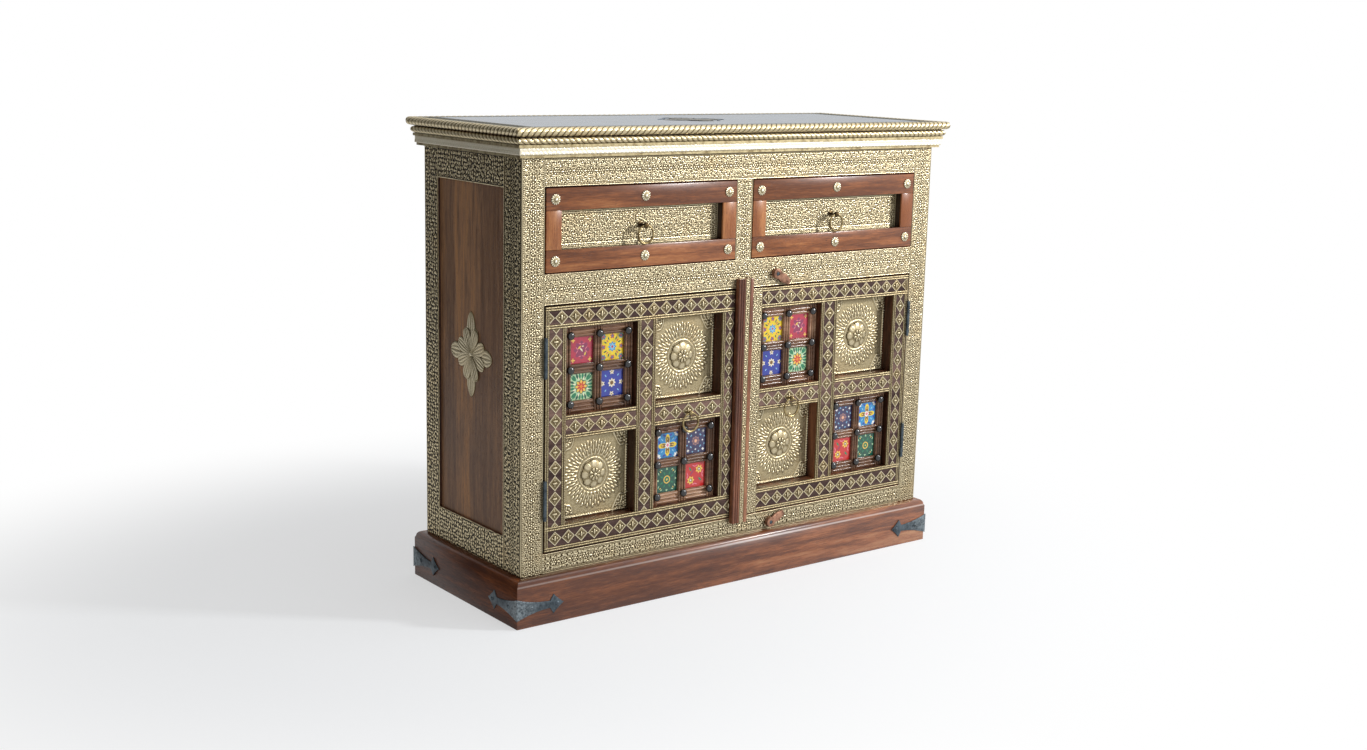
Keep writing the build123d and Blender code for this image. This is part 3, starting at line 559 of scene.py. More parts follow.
class Design(Enum):
    """The eight tiles of each door."""

    CRIMSON = TileGlaze("tile_crimson", Paint.CRIMSON, (
        Bloom(Paint.PLUM, 8, 0.7, 0.52),
        Bloom(Paint.GOLD, 4, 0.17, 0.06, at=(0.74, 0.74), mirror=Mirror.FOUR),
        Leaflet(Paint.PINK, 0.16, 0.04, 0.9, at=(0.4, 0.12), mirror=Mirror.FOUR),
        Leaflet(Paint.PINK, 0.14, 0.04, 0.2, at=(0.14, 0.46), mirror=Mirror.FOUR),
        Leaflet(Paint.GOLD, 0.2, 0.07, 0.7, at=(-0.18, 0.2)),
        Leaflet(Paint.CREAM, 0.2, 0.06, 2.2, at=(-0.02, 0.02)),
        Leaflet(Paint.GOLD, 0.16, 0.07, 1.2, at=(0.3, -0.3)),
        Leaflet(Paint.CREAM, 0.1, 0.05, 0.1, at=(0.1, 0.26)),
    ))
    YELLOW = TileGlaze("tile_yellow", Paint.YELLOW, (
        Leaflet(Paint.DARK_GREEN, 0.17, 0.06, 0.4, at=(0.62, 0.34), mirror=Mirror.FOUR),
        Leaflet(Paint.DARK_GREEN, 0.17, 0.06, 1.2, at=(0.34, 0.62), mirror=Mirror.FOUR),
        Leaflet(Paint.CRIMSON, 0.12, 0.05, 0.8, at=(0.44, 0.44), mirror=Mirror.FOUR),
        Bloom(Paint.CRIMSON, 5, 0.2, 0.13, at=(0.8, 0.0), mirror=Mirror.EIGHT),
        Bloom(Paint.SLATE, 5, 0.1, 0.07, at=(0.8, 0.0), mirror=Mirror.EIGHT),
        Bloom(Paint.SLATE, 6, 0.24, 0.17, at=(0.78, 0.78), mirror=Mirror.FOUR),
        Bloom(Paint.CRIMSON, 4, 0.1, 0.06, at=(0.78, 0.78), mirror=Mirror.FOUR),
        Bloom(Paint.AZURE, 8, 0.38, 0.26),
        Bloom(Paint.SKY, 8, 0.27, 0.16),
        Bloom(Paint.CRIMSON, 6, 0.12, 0.07),
    ))
    CREAM = TileGlaze("tile_cream", Paint.MINT, (
        Leaflet(Paint.GREEN, 0.24, 0.1, 0.1, at=(0.78, 0.12), mirror=Mirror.EIGHT),
        Leaflet(Paint.DARK_GREEN, 0.24, 0.09, 0.4, at=(0.78, 0.36), mirror=Mirror.EIGHT),
        Leaflet(Paint.GREEN, 0.28, 0.12, 0.7, at=(0.68, 0.6), mirror=Mirror.EIGHT),
        Leaflet(Paint.CREAM, 0.16, 0.05, 0.25, at=(0.6, 0.22), mirror=Mirror.EIGHT),
        Bloom(Paint.DARK_GREEN, 4, 0.16, 0.1, at=(0.92, 0.92), mirror=Mirror.FOUR),
        Bloom(Paint.DARK_GREEN, 8, 0.57, 0.47),
        Bloom(Paint.GOLD, 8, 0.52, 0.36),
        Bloom(Paint.RED, 8, 0.4, 0.2, 0.39),
        Bloom(Paint.ORANGE, 4, 0.16, 0.08),
    ))
    ROYAL = TileGlaze("tile_royal", Paint.ROYAL, (
        Leaflet(Paint.SKY, 0.12, 0.05, 0.8, at=(0.56, 0.56), mirror=Mirror.FOUR),
        Bloom(Paint.CREAM, 5, 0.2, 0.1, at=(0.82, 0.0), mirror=Mirror.EIGHT),
        Bloom(Paint.BROWN, 3, 0.06, 0.04, at=(0.84, 0.0), mirror=Mirror.EIGHT),
        Bloom(Paint.CREAM, 8, 0.34, 0.23),
        Bloom(Paint.BROWN, 8, 0.17, 0.14),
    ))
    AZURE = TileGlaze("tile_azure", Paint.AZURE, (
        Leaflet(Paint.SKY, 0.18, 0.07, 0.9, at=(0.34, 0.7), mirror=Mirror.EIGHT),
        Leaflet(Paint.ROYAL, 0.2, 0.08, 1.1, at=(0.78, 0.3), mirror=Mirror.EIGHT),
        Leaflet(Paint.SKY, 0.14, 0.05, 0.8, at=(0.52, 0.46), mirror=Mirror.FOUR),
        Bloom(Paint.WHITE, 8, 0.3, 0.22, at=(0.9, 0.9), mirror=Mirror.FOUR),
        Bloom(Paint.ROYAL, 4, 0.14, 0.1, at=(0.94, 0.94), mirror=Mirror.FOUR),
        Bloom(Paint.YELLOW, 4, 0.86, 0.2),
        Bloom(Paint.BROWN, 4, 0.66, 0.1),
        Leaflet(Paint.GOLD, 0.14, 0.05, at=(0.5, 0.0), mirror=Mirror.EIGHT),
        Bloom(Paint.WHITE, 8, 0.26, 0.18),
        Bloom(Paint.PINK, 6, 0.16, 0.1),
    ))
    INDIGO = TileGlaze("tile_indigo", Paint.INDIGO, (
        Bloom(Paint.WHITE, 4, 0.11, 0.07, at=(0.72, 0.72), mirror=Mirror.FOUR),
        Bloom(Paint.SKY, 3, 0.07, 0.05, at=(0.84, 0.3), mirror=Mirror.EIGHT),
        Bloom(Paint.WHITE, 4, 0.07, 0.05, at=(0.66, 0.0), mirror=Mirror.EIGHT),
        Bloom(Paint.SKY, 3, 0.06, 0.04, at=(0.48, 0.42), mirror=Mirror.EIGHT),
        Bloom(Paint.CLAY, 8, 0.38, 0.3),
        Hoop(Paint.INDIGO, 0.22, 0.03),
        Bloom(Paint.PEACH, 6, 0.14, 0.08),
    ))
    GREEN = TileGlaze("tile_green", Paint.DARK_GREEN, (
        Leaflet(Paint.GREEN, 0.16, 0.06, 0.5, at=(0.5, 0.24), mirror=Mirror.EIGHT),
        Leaflet(Paint.MINT, 0.12, 0.04, 1.2, at=(0.78, 0.52), mirror=Mirror.EIGHT),
        Leaflet(Paint.GOLD, 0.1, 0.04, 0.8, at=(0.62, 0.66), mirror=Mirror.FOUR),
        Bloom(Paint.MINT, 3, 0.09, 0.06, at=(0.84, 0.0), mirror=Mirror.EIGHT),
        Hoop(Paint.GOLD, 0.27, 0.04),
        Bloom(Paint.GREEN, 6, 0.2, 0.14),
        Bloom(Paint.GOLD, 3, 0.08, 0.06),
    ))
    RED = TileGlaze("tile_red", Paint.RED, (
        Leaflet(Paint.PINK, 0.2, 0.05, 1.2, at=(0.72, 0.1), mirror=Mirror.EIGHT),
        Leaflet(Paint.PLUM, 0.34, 0.06, 0.9, at=(-0.3, 0.2)),
        Leaflet(Paint.GREEN, 0.24, 0.08, 2.2, at=(-0.46, 0.5)),
        Leaflet(Paint.GREEN, 0.24, 0.08, 2.4, at=(0.5, -0.4)),
        *(Bloom(colour, petals, outer, inner, at=spot)
          for colour, petals, outer, inner in ((Paint.GOLD, 7, 0.34, 0.22), (Paint.BROWN, 6, 0.17, 0.13),
                                               (Paint.WHITE, 4, 0.08, 0.05))
          for spot in ((0.4, 0.42), (-0.4, -0.4))),
    ))


# ---- Bench: the steps that every piece is made with ---------------------------------------------


class Bench:
    """Modelling steps made with Blender's own operators."""

    @staticmethod
    def take(piece: Piece) -> None:
        """Select one piece alone."""
        bpy.ops.object.select_all(action="DESELECT")
        piece.select_set(True)
        bpy.context.view_layer.objects.active = piece

    @staticmethod
    @contextmanager
    def editing(piece: Piece) -> Iterator[None]:
        """Open a piece in edit mode with everything selected, and go back to object mode after."""
        Bench.take(piece)
        bpy.ops.object.mode_set(mode="EDIT")
        bpy.ops.mesh.select_all(action="SELECT")
        yield
        bpy.ops.object.mode_set(mode="OBJECT")

    @staticmethod
    def settle(piece: Piece, name: str) -> Piece:
        """Name a piece and put its place into its mesh."""
        piece.name = name
        piece.data.name = name
        Bench.take(piece)
        bpy.ops.object.transform_apply(location=True, rotation=True, scale=True)
        return piece

    @staticmethod
    def modify(piece: Piece, kind: str, **settings: object) -> None:
        """Add a modifier, set it and apply it."""
        Bench.take(piece)
        bpy.ops.object.modifier_add(type=kind)
        modifier = piece.modifiers[-1]
        for key, value in settings.items():
            setattr(modifier, key, value)
        bpy.ops.object.modifier_apply(modifier=modifier.name)

    @staticmethod
    def round_edges(piece: Piece, width: float, segments: int = 2) -> None:
        """Break the sharp edges of a piece."""
        Bench.modify(piece, "BEVEL", width=width, segments=segments, limit_method="ANGLE",
                     angle_limit=math.radians(35), harden_normals=False)

    @staticmethod
    def smooth(piece: Piece, degrees: float = 40.0) -> None:
        """Shade a piece smooth except at its sharp edges."""
        Bench.take(piece)
        bpy.ops.object.shade_smooth_by_angle(angle=math.radians(degrees))

    @staticmethod
    def block(name: str, low: Spot, high: Spot, edge: float = 0.8) -> Piece:
        """A bar with broken edges.

        Args:
            name: The piece's name.
            low: Its lowest corner in millimetres.
            high: Its highest corner in millimetres.
            edge: How much its edges are broken.

        Returns:
            The bar.
        """
        low_corner, high_corner = Vector(low) * MM, Vector(high) * MM
        bpy.ops.mesh.primitive_cube_add(size=1.0, location=(low_corner + high_corner) / 2,
                                        scale=high_corner - low_corner)
        bar = Bench.settle(bpy.context.object, name)
        if edge:
            Bench.round_edges(bar, edge * MM)
        return bar

    @staticmethod
    def reed(name: str, start: Spot, end: Spot, radius: float) -> Piece:
        """A round reed from one point to another, in millimetres."""
        first, last = Vector(start) * MM, Vector(end) * MM
        bpy.ops.mesh.primitive_cylinder_add(vertices=14, radius=radius * MM, depth=(last - first).length,
                                            location=(first + last) / 2)
        rod = bpy.context.object
        rod.rotation_euler = (last - first).to_track_quat("Z", "Y").to_euler()
        return Bench.settle(rod, name)

    @staticmethod
    def reeds(across: Pair, level: Pair, depth: float, upright: bool, slim: float = 1.0) -> list[Piece]:
        """Three round reeds side by side over a bar, in millimetres.

        Args:
            across: The stretch that the bar takes up across.
            level: The stretch that it takes up in height.
            depth: How deep the reeds' axes lie.
            upright: Whether they run up.
            slim: Their radius as a share of the one that fills the bar.

        Returns:
            The reeds.
        """
        start, end = across if upright else level
        radius = (end - start) / 6
        made = []
        for share in (1, 3, 5):
            at = start + share * radius
            ends = [(at, depth, z) for z in level] if upright else [(x, depth, at) for x in across]
            made.append(Bench.reed("reed", *ends, radius * slim))
        return made

    @staticmethod
    def turned(name: str, profile: Sequence[Pair], segments: int = 20, tone: float | None = None) -> Piece:
        """A piece turned about Z, from its base up.

        Args:
            name: The piece's name.
            profile: Its radius and height at each step, in millimetres.
            segments: How many sides it has.
            tone: The relief that its finish reads, if it reads one.

        Returns:
            The piece, standing at the origin.
        """
        radius, level = profile[0]
        bpy.ops.mesh.primitive_circle_add(vertices=segments, radius=radius * MM, fill_type="NGON",
                                          location=(0, 0, 0))
        piece = bpy.context.object
        with Bench.editing(piece):
            bpy.ops.mesh.flip_normals()
            bpy.ops.transform.translate(value=(0, 0, level * MM))
            for next_radius, next_level in profile[1:]:
                lift = (next_level - level) * MM
                bpy.ops.mesh.extrude_region_move(TRANSFORM_OT_translate={"value": (0, 0, lift)})
                share = next_radius / radius
                bpy.ops.transform.resize(value=(share, share, 1), center_override=(0, 0, next_level * MM))
                radius, level = next_radius, next_level
            bpy.ops.mesh.select_all(action="SELECT")
            bpy.ops.mesh.normals_make_consistent(inside=False)
        if tone is not None:
            Bench.mark(piece, np.full(len(piece.data.vertices), tone))
        return Bench.settle(piece, name)

    @staticmethod
    def grid(name: str, columns: int, rows: int, place: Place) -> Piece:
        """A grid whose points are moved to a surface.

        Args:
            name: The piece's name.
            columns: Faces along u.
            rows: Faces along v.
            place: Gives the points in millimetres for u and v from 0 to 1, and their relief if they
                have one. Its u direction, v direction and outward normal are right-handed.

        Returns:
            The surface.
        """
        bpy.ops.mesh.primitive_grid_add(x_subdivisions=columns, y_subdivisions=rows, size=2.0)
        sheet = bpy.context.object
        points = Bench.points(sheet)
        u = np.clip(points[:, 0] * 0.5 + 0.5, 0, 1)
        v = np.clip(points[:, 1] * 0.5 + 0.5, 0, 1)
        values = place(u, v)
        Bench.move(sheet, values[:, :3] * MM)
        if values.shape[1] > 3:
            Bench.mark(sheet, values[:, 3])
        sheet.name = name
        sheet.data.name = name
        return sheet

    @staticmethod
    def close(piece: Piece) -> None:
        """Merge doubled points, fill what is still open and shade smooth."""
        with Bench.editing(piece):
            bpy.ops.mesh.remove_doubles(threshold=0.00002)
            bpy.ops.mesh.select_all(action="DESELECT")
            bpy.ops.mesh.select_non_manifold(extend=False, use_wire=False, use_multi_face=False,
                                             use_non_contiguous=False, use_verts=False)
            bpy.ops.mesh.edge_face_add()
        piece.data.shade_smooth()

    @staticmethod
    def outside(piece: Piece) -> None:
        """Close a shell and turn its faces outwards."""
        Bench.close(piece)
        with Bench.editing(piece):
            bpy.ops.mesh.normals_make_consistent(inside=False)

    @staticmethod
    def points(piece: Piece) -> Values:
        """The piece's vertices as an array."""
        flat = np.empty(len(piece.data.vertices) * 3, np.float32)
        piece.data.vertices.foreach_get("co", flat)
        return flat.reshape(-1, 3).astype(float)

    @staticmethod
    def move(piece: Piece, points: Values) -> None:
        """Put the piece's vertices at new points."""
        piece.data.vertices.foreach_set("co", points.astype(np.float32).ravel())
        piece.data.update()

    @staticmethod
    def mark(piece: Piece, values: Values) -> None:
        """Keep the height of the relief at each vertex, for the finish."""
        layer = piece.data.attributes.new("relief", "FLOAT", "POINT")
        layer.data.foreach_set("value", values.astype(np.float32))

    @staticmethod
    def join(name: str, pieces: Sequence[Piece]) -> Piece:
        """Join pieces into one."""
        bpy.ops.object.select_all(action="DESELECT")
        for piece in pieces:
            piece.select_set(True)
        bpy.context.view_layer.objects.active = pieces[0]
        bpy.ops.object.join()
        return Bench.settle(bpy.context.object, name)

    @staticmethod
    def copied(pattern: Piece, place: Matrix) -> Piece:
        """Copy a piece with its own mesh to a place in metres."""
        copy = pattern.copy()
        copy.data = pattern.data.copy()
        copy.data.transform(place)
        bpy.context.collection.objects.link(copy)
        return copy

    @staticmethod
    def scatter(name: str, pattern: Piece, places: Iterable[Matrix]) -> Piece:
        """Copy a pattern to many places as one piece, and throw the pattern away.

        Args:
            name: The piece's name.
            pattern: What is copied.
            places: Where each copy goes, in metres.

        Returns:
            The piece of all the copies.
        """
        copies = [Bench.copied(pattern, place) for place in places]
        bpy.data.objects.remove(pattern)
        return Bench.join(name, copies)


def seat(spot: Spot, outward: Spot, turn: float = 0.0) -> Matrix:
    """Place a piece that stands on Z at the origin onto a face.

    Args:
        spot: The point on the face, in millimetres.
        outward: The face's direction.
        turn: How far the piece is turned about that direction, in radians.

    Returns:
        The placing in metres.
    """
    out = Vector(outward).normalized()
    up = Vector((0, 0, 1)) if abs(out.z) < 0.5 else Vector((0, 1, 0))
    side = up.cross(out)
    turned = Matrix((side, up, out)).transposed().to_4x4() @ Matrix.Rotation(turn, 4, "Z")
    return Matrix.Translation(Vector(spot) * MM) @ turned


# ---- Reliefs -----------------------------------------------------------------------------------


def swell(distance: Values, power: float = 0.8) -> Values:
    """A rounded rise: 1 at distance 0 and nothing from distance 1."""
    return np.clip(1 - distance**2, 0, 1) ** power


def ring_of(x: Values, y: Values, count: int, middle: float, length: float, width: float,
            turn: float = 0.0) -> Values:
    """Petals or dots around a centre.

    Args:
        x: Coordinates across, about the centre.
        y: Coordinates up, about the centre.
        count: How many petals.
        middle: The distance of their middles from the centre.
        length: Half their length outwards.
        width: Half their width.
        turn: The angle of the first.

    Returns:
        The relief from 0 to 1.
    """
    sector = 2 * math.pi / count
    angle = (np.arctan2(y, x) - turn + sector / 2) % sector - sector / 2
    radius = np.hypot(x, y)
    return swell(np.hypot((radius * np.cos(angle) - middle) / length, radius * np.sin(angle) / width))


def cell(values: Values, pitch: float) -> Values:
    """Fold values into cells about their middles."""
    return (values + pitch / 2) % pitch - pitch / 2


def by_hand(s: Values, t: Values, sway: float = 0.5) -> tuple[Values, Values]:
    """Bend a pattern a little, as a punch held by hand does.

    Args:
        s: Places along the sheet.
        t: Places across it.
        sway: How far the pattern strays.

    Returns:
        The bent places along and across.
    """
    along = s + sway * np.sin(s / 7.3 + t / 5.1) + sway * 0.6 * np.sin(s / 3.1 - t / 4.7)
    across = t + sway * np.sin(s / 6.1 - t / 8.3) + sway * 0.6 * np.sin(t / 3.7 + s / 11.9)
    return along, across


def chance(column: Values, row: Values, draw: int) -> Values:
    """A number from 0 to 1 that looks random and is the same on each run, for each cell."""
    return np.sin(column * 12.99 + row * 78.23 + draw * 37.7) * 4375.85 % 1


def strewn(s: Values, t: Values, pitch: float, half_length: float, half_width: float) -> Values:
    """Small leaves strewn over a sheet, each placed and turned a little differently.

    Args:
        s: Places along the sheet.
        t: Places across it.
        pitch: How far apart they lie on average.
        half_length: Half the length of each.
        half_width: Half its width.

    Returns:
        The relief from 0 to 1.
    """
    relief = np.zeros_like(s)
    column, row = np.floor(s / pitch), np.floor(t / pitch)
    for near_column in (column - 1, column, column + 1):
        for near_row in (row - 1, row, row + 1):
            aside, above, lean = (chance(near_column, near_row, draw) for draw in range(3))
            x = s - (near_column + 0.2 + 0.6 * aside) * pitch
            y = t - (near_row + 0.2 + 0.6 * above) * pitch
            turn = lean * math.pi
            along = (x * np.cos(turn) + y * np.sin(turn)) / half_length
            across = (y * np.cos(turn) - x * np.sin(turn)) / half_width
            relief = np.maximum(relief, swell(np.hypot(along, across)))
    return relief


def blurred(values: Values, reach: int) -> Values:
    """The mean over a square around each of a sheet's points.

    Args:
        values: The values in rows and columns.
        reach: Half the square's side, in points.

    Returns:
        The means.
    """
    for axis in (0, 1):
        pad = [(0, 0), (0, 0)]
        pad[axis] = (reach + 1, reach)
        total = np.cumsum(np.pad(values, pad, "edge"), axis)
        whole = total.shape[axis]
        side = 2 * reach + 1
        values = (np.take(total, range(side, whole), axis) - np.take(total, range(whole - side), axis)) / side
    return values


class Relief:
    """A pattern beaten into a sheet. Its sizes are in millimetres."""

    def height(self, s: Values, t: Values, length: float, width: float) -> Values:
        """The relief from 0 to 1, s along and t across a sheet, both from its middle."""
        raise NotImplementedError


@dataclass(frozen=True)
class VineBand(Relief):
    """Daisies and dashes inside a chain, rows of sprigs beside it, small leaves strewn between."""

    pitch: float = 24.0
    rim: float = 1.8
    row: float = 7.5
    leaf: float = 4.0

    def height(self, s: Values, t: Values, length: float, width: float) -> Values:
        """The band's relief."""
        pitch = length / max(1, round(length / self.pitch))
        x, y = by_hand(s, t)
        u, far = cell(x, pitch), cell(x - pitch / 2, pitch)
        daisy = np.maximum(swell(np.hypot(u, y) / 2.0), ring_of(u, y, 6, 4.6, 1.9, 1.7))
        dash = np.maximum(swell(np.hypot(far / 4.4, y / 1.6)), ring_of(far, y, 4, 4.8, 1.7, 1.2, math.pi / 4))
        chain = swell((np.abs(y) - 6.6 - 1.6 * np.cos(2 * math.pi * x / pitch)) / 0.9) * 0.6
        clear = np.clip((np.minimum(np.hypot(u, y), np.hypot(far, y)) - 6.0) / 2.0, 0, 1)
        leaves = strewn(s, t, self.leaf, self.leaf * 0.56, self.leaf * 0.3) * 0.85 * clear
        layers = [daisy, dash, chain, leaves]
        for index, level in enumerate(np.arange(width / 2 - self.row, 9.5, -self.row)):
            sprig_u = cell(x + index * pitch / 4, pitch / 2)
            layers.append(ring_of(sprig_u, np.abs(y) - level, 5, 2.9, 2.1, 1.1, math.pi / 2) * 0.9)
            layers.append(swell(np.hypot(sprig_u, np.abs(y) - level) / 1.3))
        relief = np.maximum.reduce(layers)
        edge = width / 2 - np.abs(t)
        beads = swell(np.hypot(cell(s, 3.3), edge - self.rim - 1.9) / 1.3)
        relief = np.where(edge < self.rim + 3.3, beads, relief)
        relief = np.where(edge < self.rim + 0.6, 0.1, relief)
        return np.where(edge < self.rim, 0.7, relief)


@dataclass(frozen=True)
class LatticeBand(Relief):
    """Thin crossing cords with a medallion in each diamond, small leaves strewn between."""

    pitch: float = 21.0
    rim: float = 1.8
    leaf: float = 5.4

    def height(self, s: Values, t: Values, length: float, width: float) -> Values:
        """The band's relief."""
        pitch = length / max(1, round(length / self.pitch))
        x, y = by_hand(s, t)
        cords = np.zeros_like(s)
        for lean in (1, -1):
            cords = np.maximum(cords, swell(cell(x + lean * y, pitch) / 1.4) * 0.8)
        u, v = cell(x - pitch / 2, pitch), cell(y, pitch)
        medal = np.maximum(swell(np.hypot(u, v) / 1.7), ring_of(u, v, 7, 4.0, 1.9, 1.3))
        u, v = cell(x, pitch), cell(y - pitch / 2, pitch)
        medal = np.maximum(medal, ring_of(u, v, 5, 3.4, 2.3, 1.2))
        strewing = strewn(s, t, self.leaf, self.leaf * 0.5, self.leaf * 0.34)
        relief = np.maximum.reduce([cords * 0.6, medal, strewing])
        edge = width / 2 - np.abs(t)
        relief = np.where(edge < self.rim + 0.6, 0.1, relief)
        return np.where(edge < self.rim, 0.7, relief)


@dataclass(frozen=True)
class Garland(Relief):
    """The drawer panel: a garland of flowers and buds between beaded lines."""

    pitch: float = 30.0

    def height(self, s: Values, t: Values, length: float, width: float) -> Values:
        """The panel's relief."""
        pitch = length / round(length / self.pitch)
        x, y = by_hand(s, t)
        u, far = cell(x, pitch), cell(x - pitch / 2, pitch)
        flower = np.maximum(swell(np.hypot(u, y) / 1.8), ring_of(u, y, 8, 4.6, 2.2, 1.5))
        vine = swell((np.abs(y) - 9.0 - 2.5 * np.cos(2 * math.pi * x / pitch)) / 1.0) * 0.85
        bud = np.maximum(ring_of(far, y, 4, 3.6, 2.8, 1.5), swell(np.hypot(far, y) / 1.4))
        sprig = ring_of(cell(x, pitch / 2), np.abs(y) - 18.5, 5, 3.4, 2.4, 1.3, math.pi / 2)
        relief = np.maximum.reduce([flower, vine * 0.7, bud, sprig * 0.8, strewn(s, t, 3.6, 2.1, 1.1) * 0.85])
        edge = np.minimum(width / 2 - np.abs(t), length / 2 - np.abs(s))
        beads = np.maximum(swell(np.hypot(cell(s, 3.6), edge - 3.6) / 1.4),
                           swell(np.hypot(cell(t, 3.6), edge - 3.6) / 1.4))
        relief = np.where(edge < 5.4, beads, relief)
        relief = np.where(np.abs(edge - 6.2) < 0.8, 0.75, relief)
        return np.where(edge < 1.6, 0.7, relief)


@dataclass(frozen=True)
class SunPanel(Relief):
    """The ground of a rosette: a wreath of leaves around a ringed middle, beads and corner fans."""

    ring: float = 31.0
    rays: int = 30

    def height(self, s: Values, t: Values, length: float, width: float) -> Values:
        """The panel's relief."""
        x, y = by_hand(s, t, 0.35)
        radius = np.hypot(x, y)
        half_sector = math.pi / self.rays
        wreath = np.maximum.reduce([
            ring_of(x, y, self.rays, 42.0, 8.0, 1.5),
            ring_of(x, y, self.rays, 48.5, 8.0, 1.5, half_sector),
            ring_of(x, y, self.rays, 56.0, 6.6, 1.9),
            ring_of(x, y, self.rays, 61.5, 4.6, 1.8, half_sector),
            ring_of(x, y, self.rays * 2, 37.0, 1.3, 1.2, half_sector / 2) * 0.7,
        ])
        wide, tall = length / 2 - np.abs(s), width / 2 - np.abs(t)
        edge = np.minimum(wide, tall)
        beads = np.maximum(swell(np.hypot(cell(s, 5.2), edge - 3.6) / 2.0),
                           swell(np.hypot(cell(t, 5.2), edge - 3.6) / 2.0))
        corner = np.hypot(wide - 2, tall - 2) + 2.0 * np.sin(s / 3.5)
        fans = strewn(s, t, 5.2, 3.8, 1.9) * (corner < 29) * (edge > 5)
        fans = np.maximum(fans, swell((corner - 32.0) / 1.5) * 0.9) * (radius > 66.0)
        plain = strewn(s, t, 6.0, 4.0, 2.6) * 0.07
        ring = swell((radius - self.ring) / 1.2) * 0.55
        return np.maximum.reduce([ring, wreath, beads, fans, plain]) * 0.95 + 0.05


@dataclass(frozen=True)
class Fillet(Relief):
    """Two reeds side by side, dented by the hammer."""

    def height(self, s: Values, t: Values, length: float, width: float) -> Values:
        """The relief of both reeds."""
        dents = strewn(s, t, 3.4, 2.6, 1.1)
        across = (np.abs(t) - width * 0.25) / (width * 0.2)
        return np.clip(1 - across**2, 0, 1) ** 0.5 * (0.66 + 0.34 * dents)


@dataclass(frozen=True)
class Punched(Relief):
    """Rows of small punched leaves without any other figure."""

    def height(self, s: Values, t: Values, length: float, width: float) -> Values:
        """The relief of the leaves."""
        return np.where(width / 2 - np.abs(t) < 1.0, 0.6, strewn(s, t, 3.6, 2.2, 1.15))


@dataclass(frozen=True)
class Scallops(Relief):
    """The cornice band: small arches side by side."""

    pitch: float = 9.0

    def height(self, s: Values, t: Values, length: float, width: float) -> Values:
        """The band's relief."""
        pitch = length / round(length / self.pitch)
        u = cell(s, pitch)
        foot = t + width / 2
        arch = swell((np.hypot(u, foot) - pitch * 0.42) / 1.1)
        drop = swell(np.hypot(u, foot - 1.6) / 1.9)
        star = swell(np.hypot(cell(s - pitch / 2, pitch), foot - width * 0.72) / 1.6)
        return np.maximum.reduce([arch, drop, star * 0.8])


@dataclass(frozen=True)
class Coil(Relief):
    """The border of the top: a running coil of leaves between lines."""

    pitch: float = 26.0

    def height(self, s: Values, t: Values, length: float, width: float) -> Values:
        """The border's relief."""
        pitch = length / max(1, round(length / self.pitch))
        vine = swell((t - width * 0.2 * np.sin(2 * math.pi * s / pitch)) / 1.7)
        leaf_u, leaf_v = cell(s, pitch / 2), np.abs(t) - width * 0.27
        leaves = ring_of(leaf_u, leaf_v, 5, 3.6, 2.8, 1.6)
        return np.where(width / 2 - np.abs(t) < 2.2, 0.8, np.maximum(vine, leaves))


@dataclass(frozen=True)
class EmbossedSheet:
    """A brass sheet on a face, with a pattern beaten into it. Sizes are in millimetres."""

    name: str
    middle: Spot
    along: Spot
    outward: Spot
    length: float
    width: float
    relief: Relief
    mesh: float = 1.3
    low: float = 0.35
    high: float = 1.4
    contrast: float = 0.85
    hollows: float = 2.6
    ground: float = 0.48

    def patina(self, relief: Values) -> Values:
        """How bright the brass has been rubbed: dark beside what stands proud and bright upon it."""
        proud = relief - blurred(relief, max(1, round(self.hollows / self.mesh)))
        return np.clip(self.ground + self.contrast * proud, 0, 1)

    def build(self) -> Piece:
        """Build the sheet, closed at its back."""
        along, outward = np.array(self.along), np.array(self.outward)
        across = np.cross(outward, along)
        columns = max(2, round(self.length / self.mesh)) + 2
        rows = max(2, round(self.width / self.mesh)) + 2

        def place(u: Values, v: Values) -> Values:
            """Points of the sheet, whose outermost row is its turned-down edge."""
            edge = (u < 0.5 / columns) | (u > 1 - 0.5 / columns) | (v < 0.5 / rows) | (v > 1 - 0.5 / rows)
            s = np.clip((u * columns - 1) / (columns - 2), 0, 1) * self.length - self.length / 2
            t = np.clip((v * rows - 1) / (rows - 2), 0, 1) * self.width - self.width / 2
            relief = self.relief.height(s, t, self.length, self.width)
            rise = np.where(edge, 0.0, self.low + (self.high - self.low) * relief)
            spots = np.array(self.middle) + s[:, None] * along + t[:, None] * across + rise[:, None] * outward
            return np.column_stack((spots, self.patina(relief.reshape(rows + 1, columns + 1)).ravel()))

        sheet = Bench.grid(self.name, columns, rows, place)
        Bench.close(sheet)
        return sheet

    @classmethod
    def over(cls, name: str, foot: Spot, head: Spot, outward: Spot, relief: Relief, upright: bool = False,
             seam: float = 0.0, **settings: float) -> Piece:
        """Build a sheet over an upright face.

        Args:
            name: The piece's name.
            foot: The face's lowest corner.
            head: Its highest corner.
            outward: Its direction.
            relief: The pattern.
            upright: Whether the pattern runs up.
            seam: How much smaller the sheet is than the face.
            settings: The sheet's other fields.

        Returns:
            The sheet.
        """
        middle = tuple((start + end) / 2 for start, end in zip(foot, head))
        along_x, along_y, rise = (end - start - seam for start, end in zip(foot, head))
        level, flat = (along_x, (1, 0, 0)) if outward[1] else (along_y, (0, 1, 0))
        length, width = (rise, level) if upright else (level, rise)
        return cls(name, middle, (0, 0, 1) if upright else flat, outward, length, width, relief,
                   **settings).build()


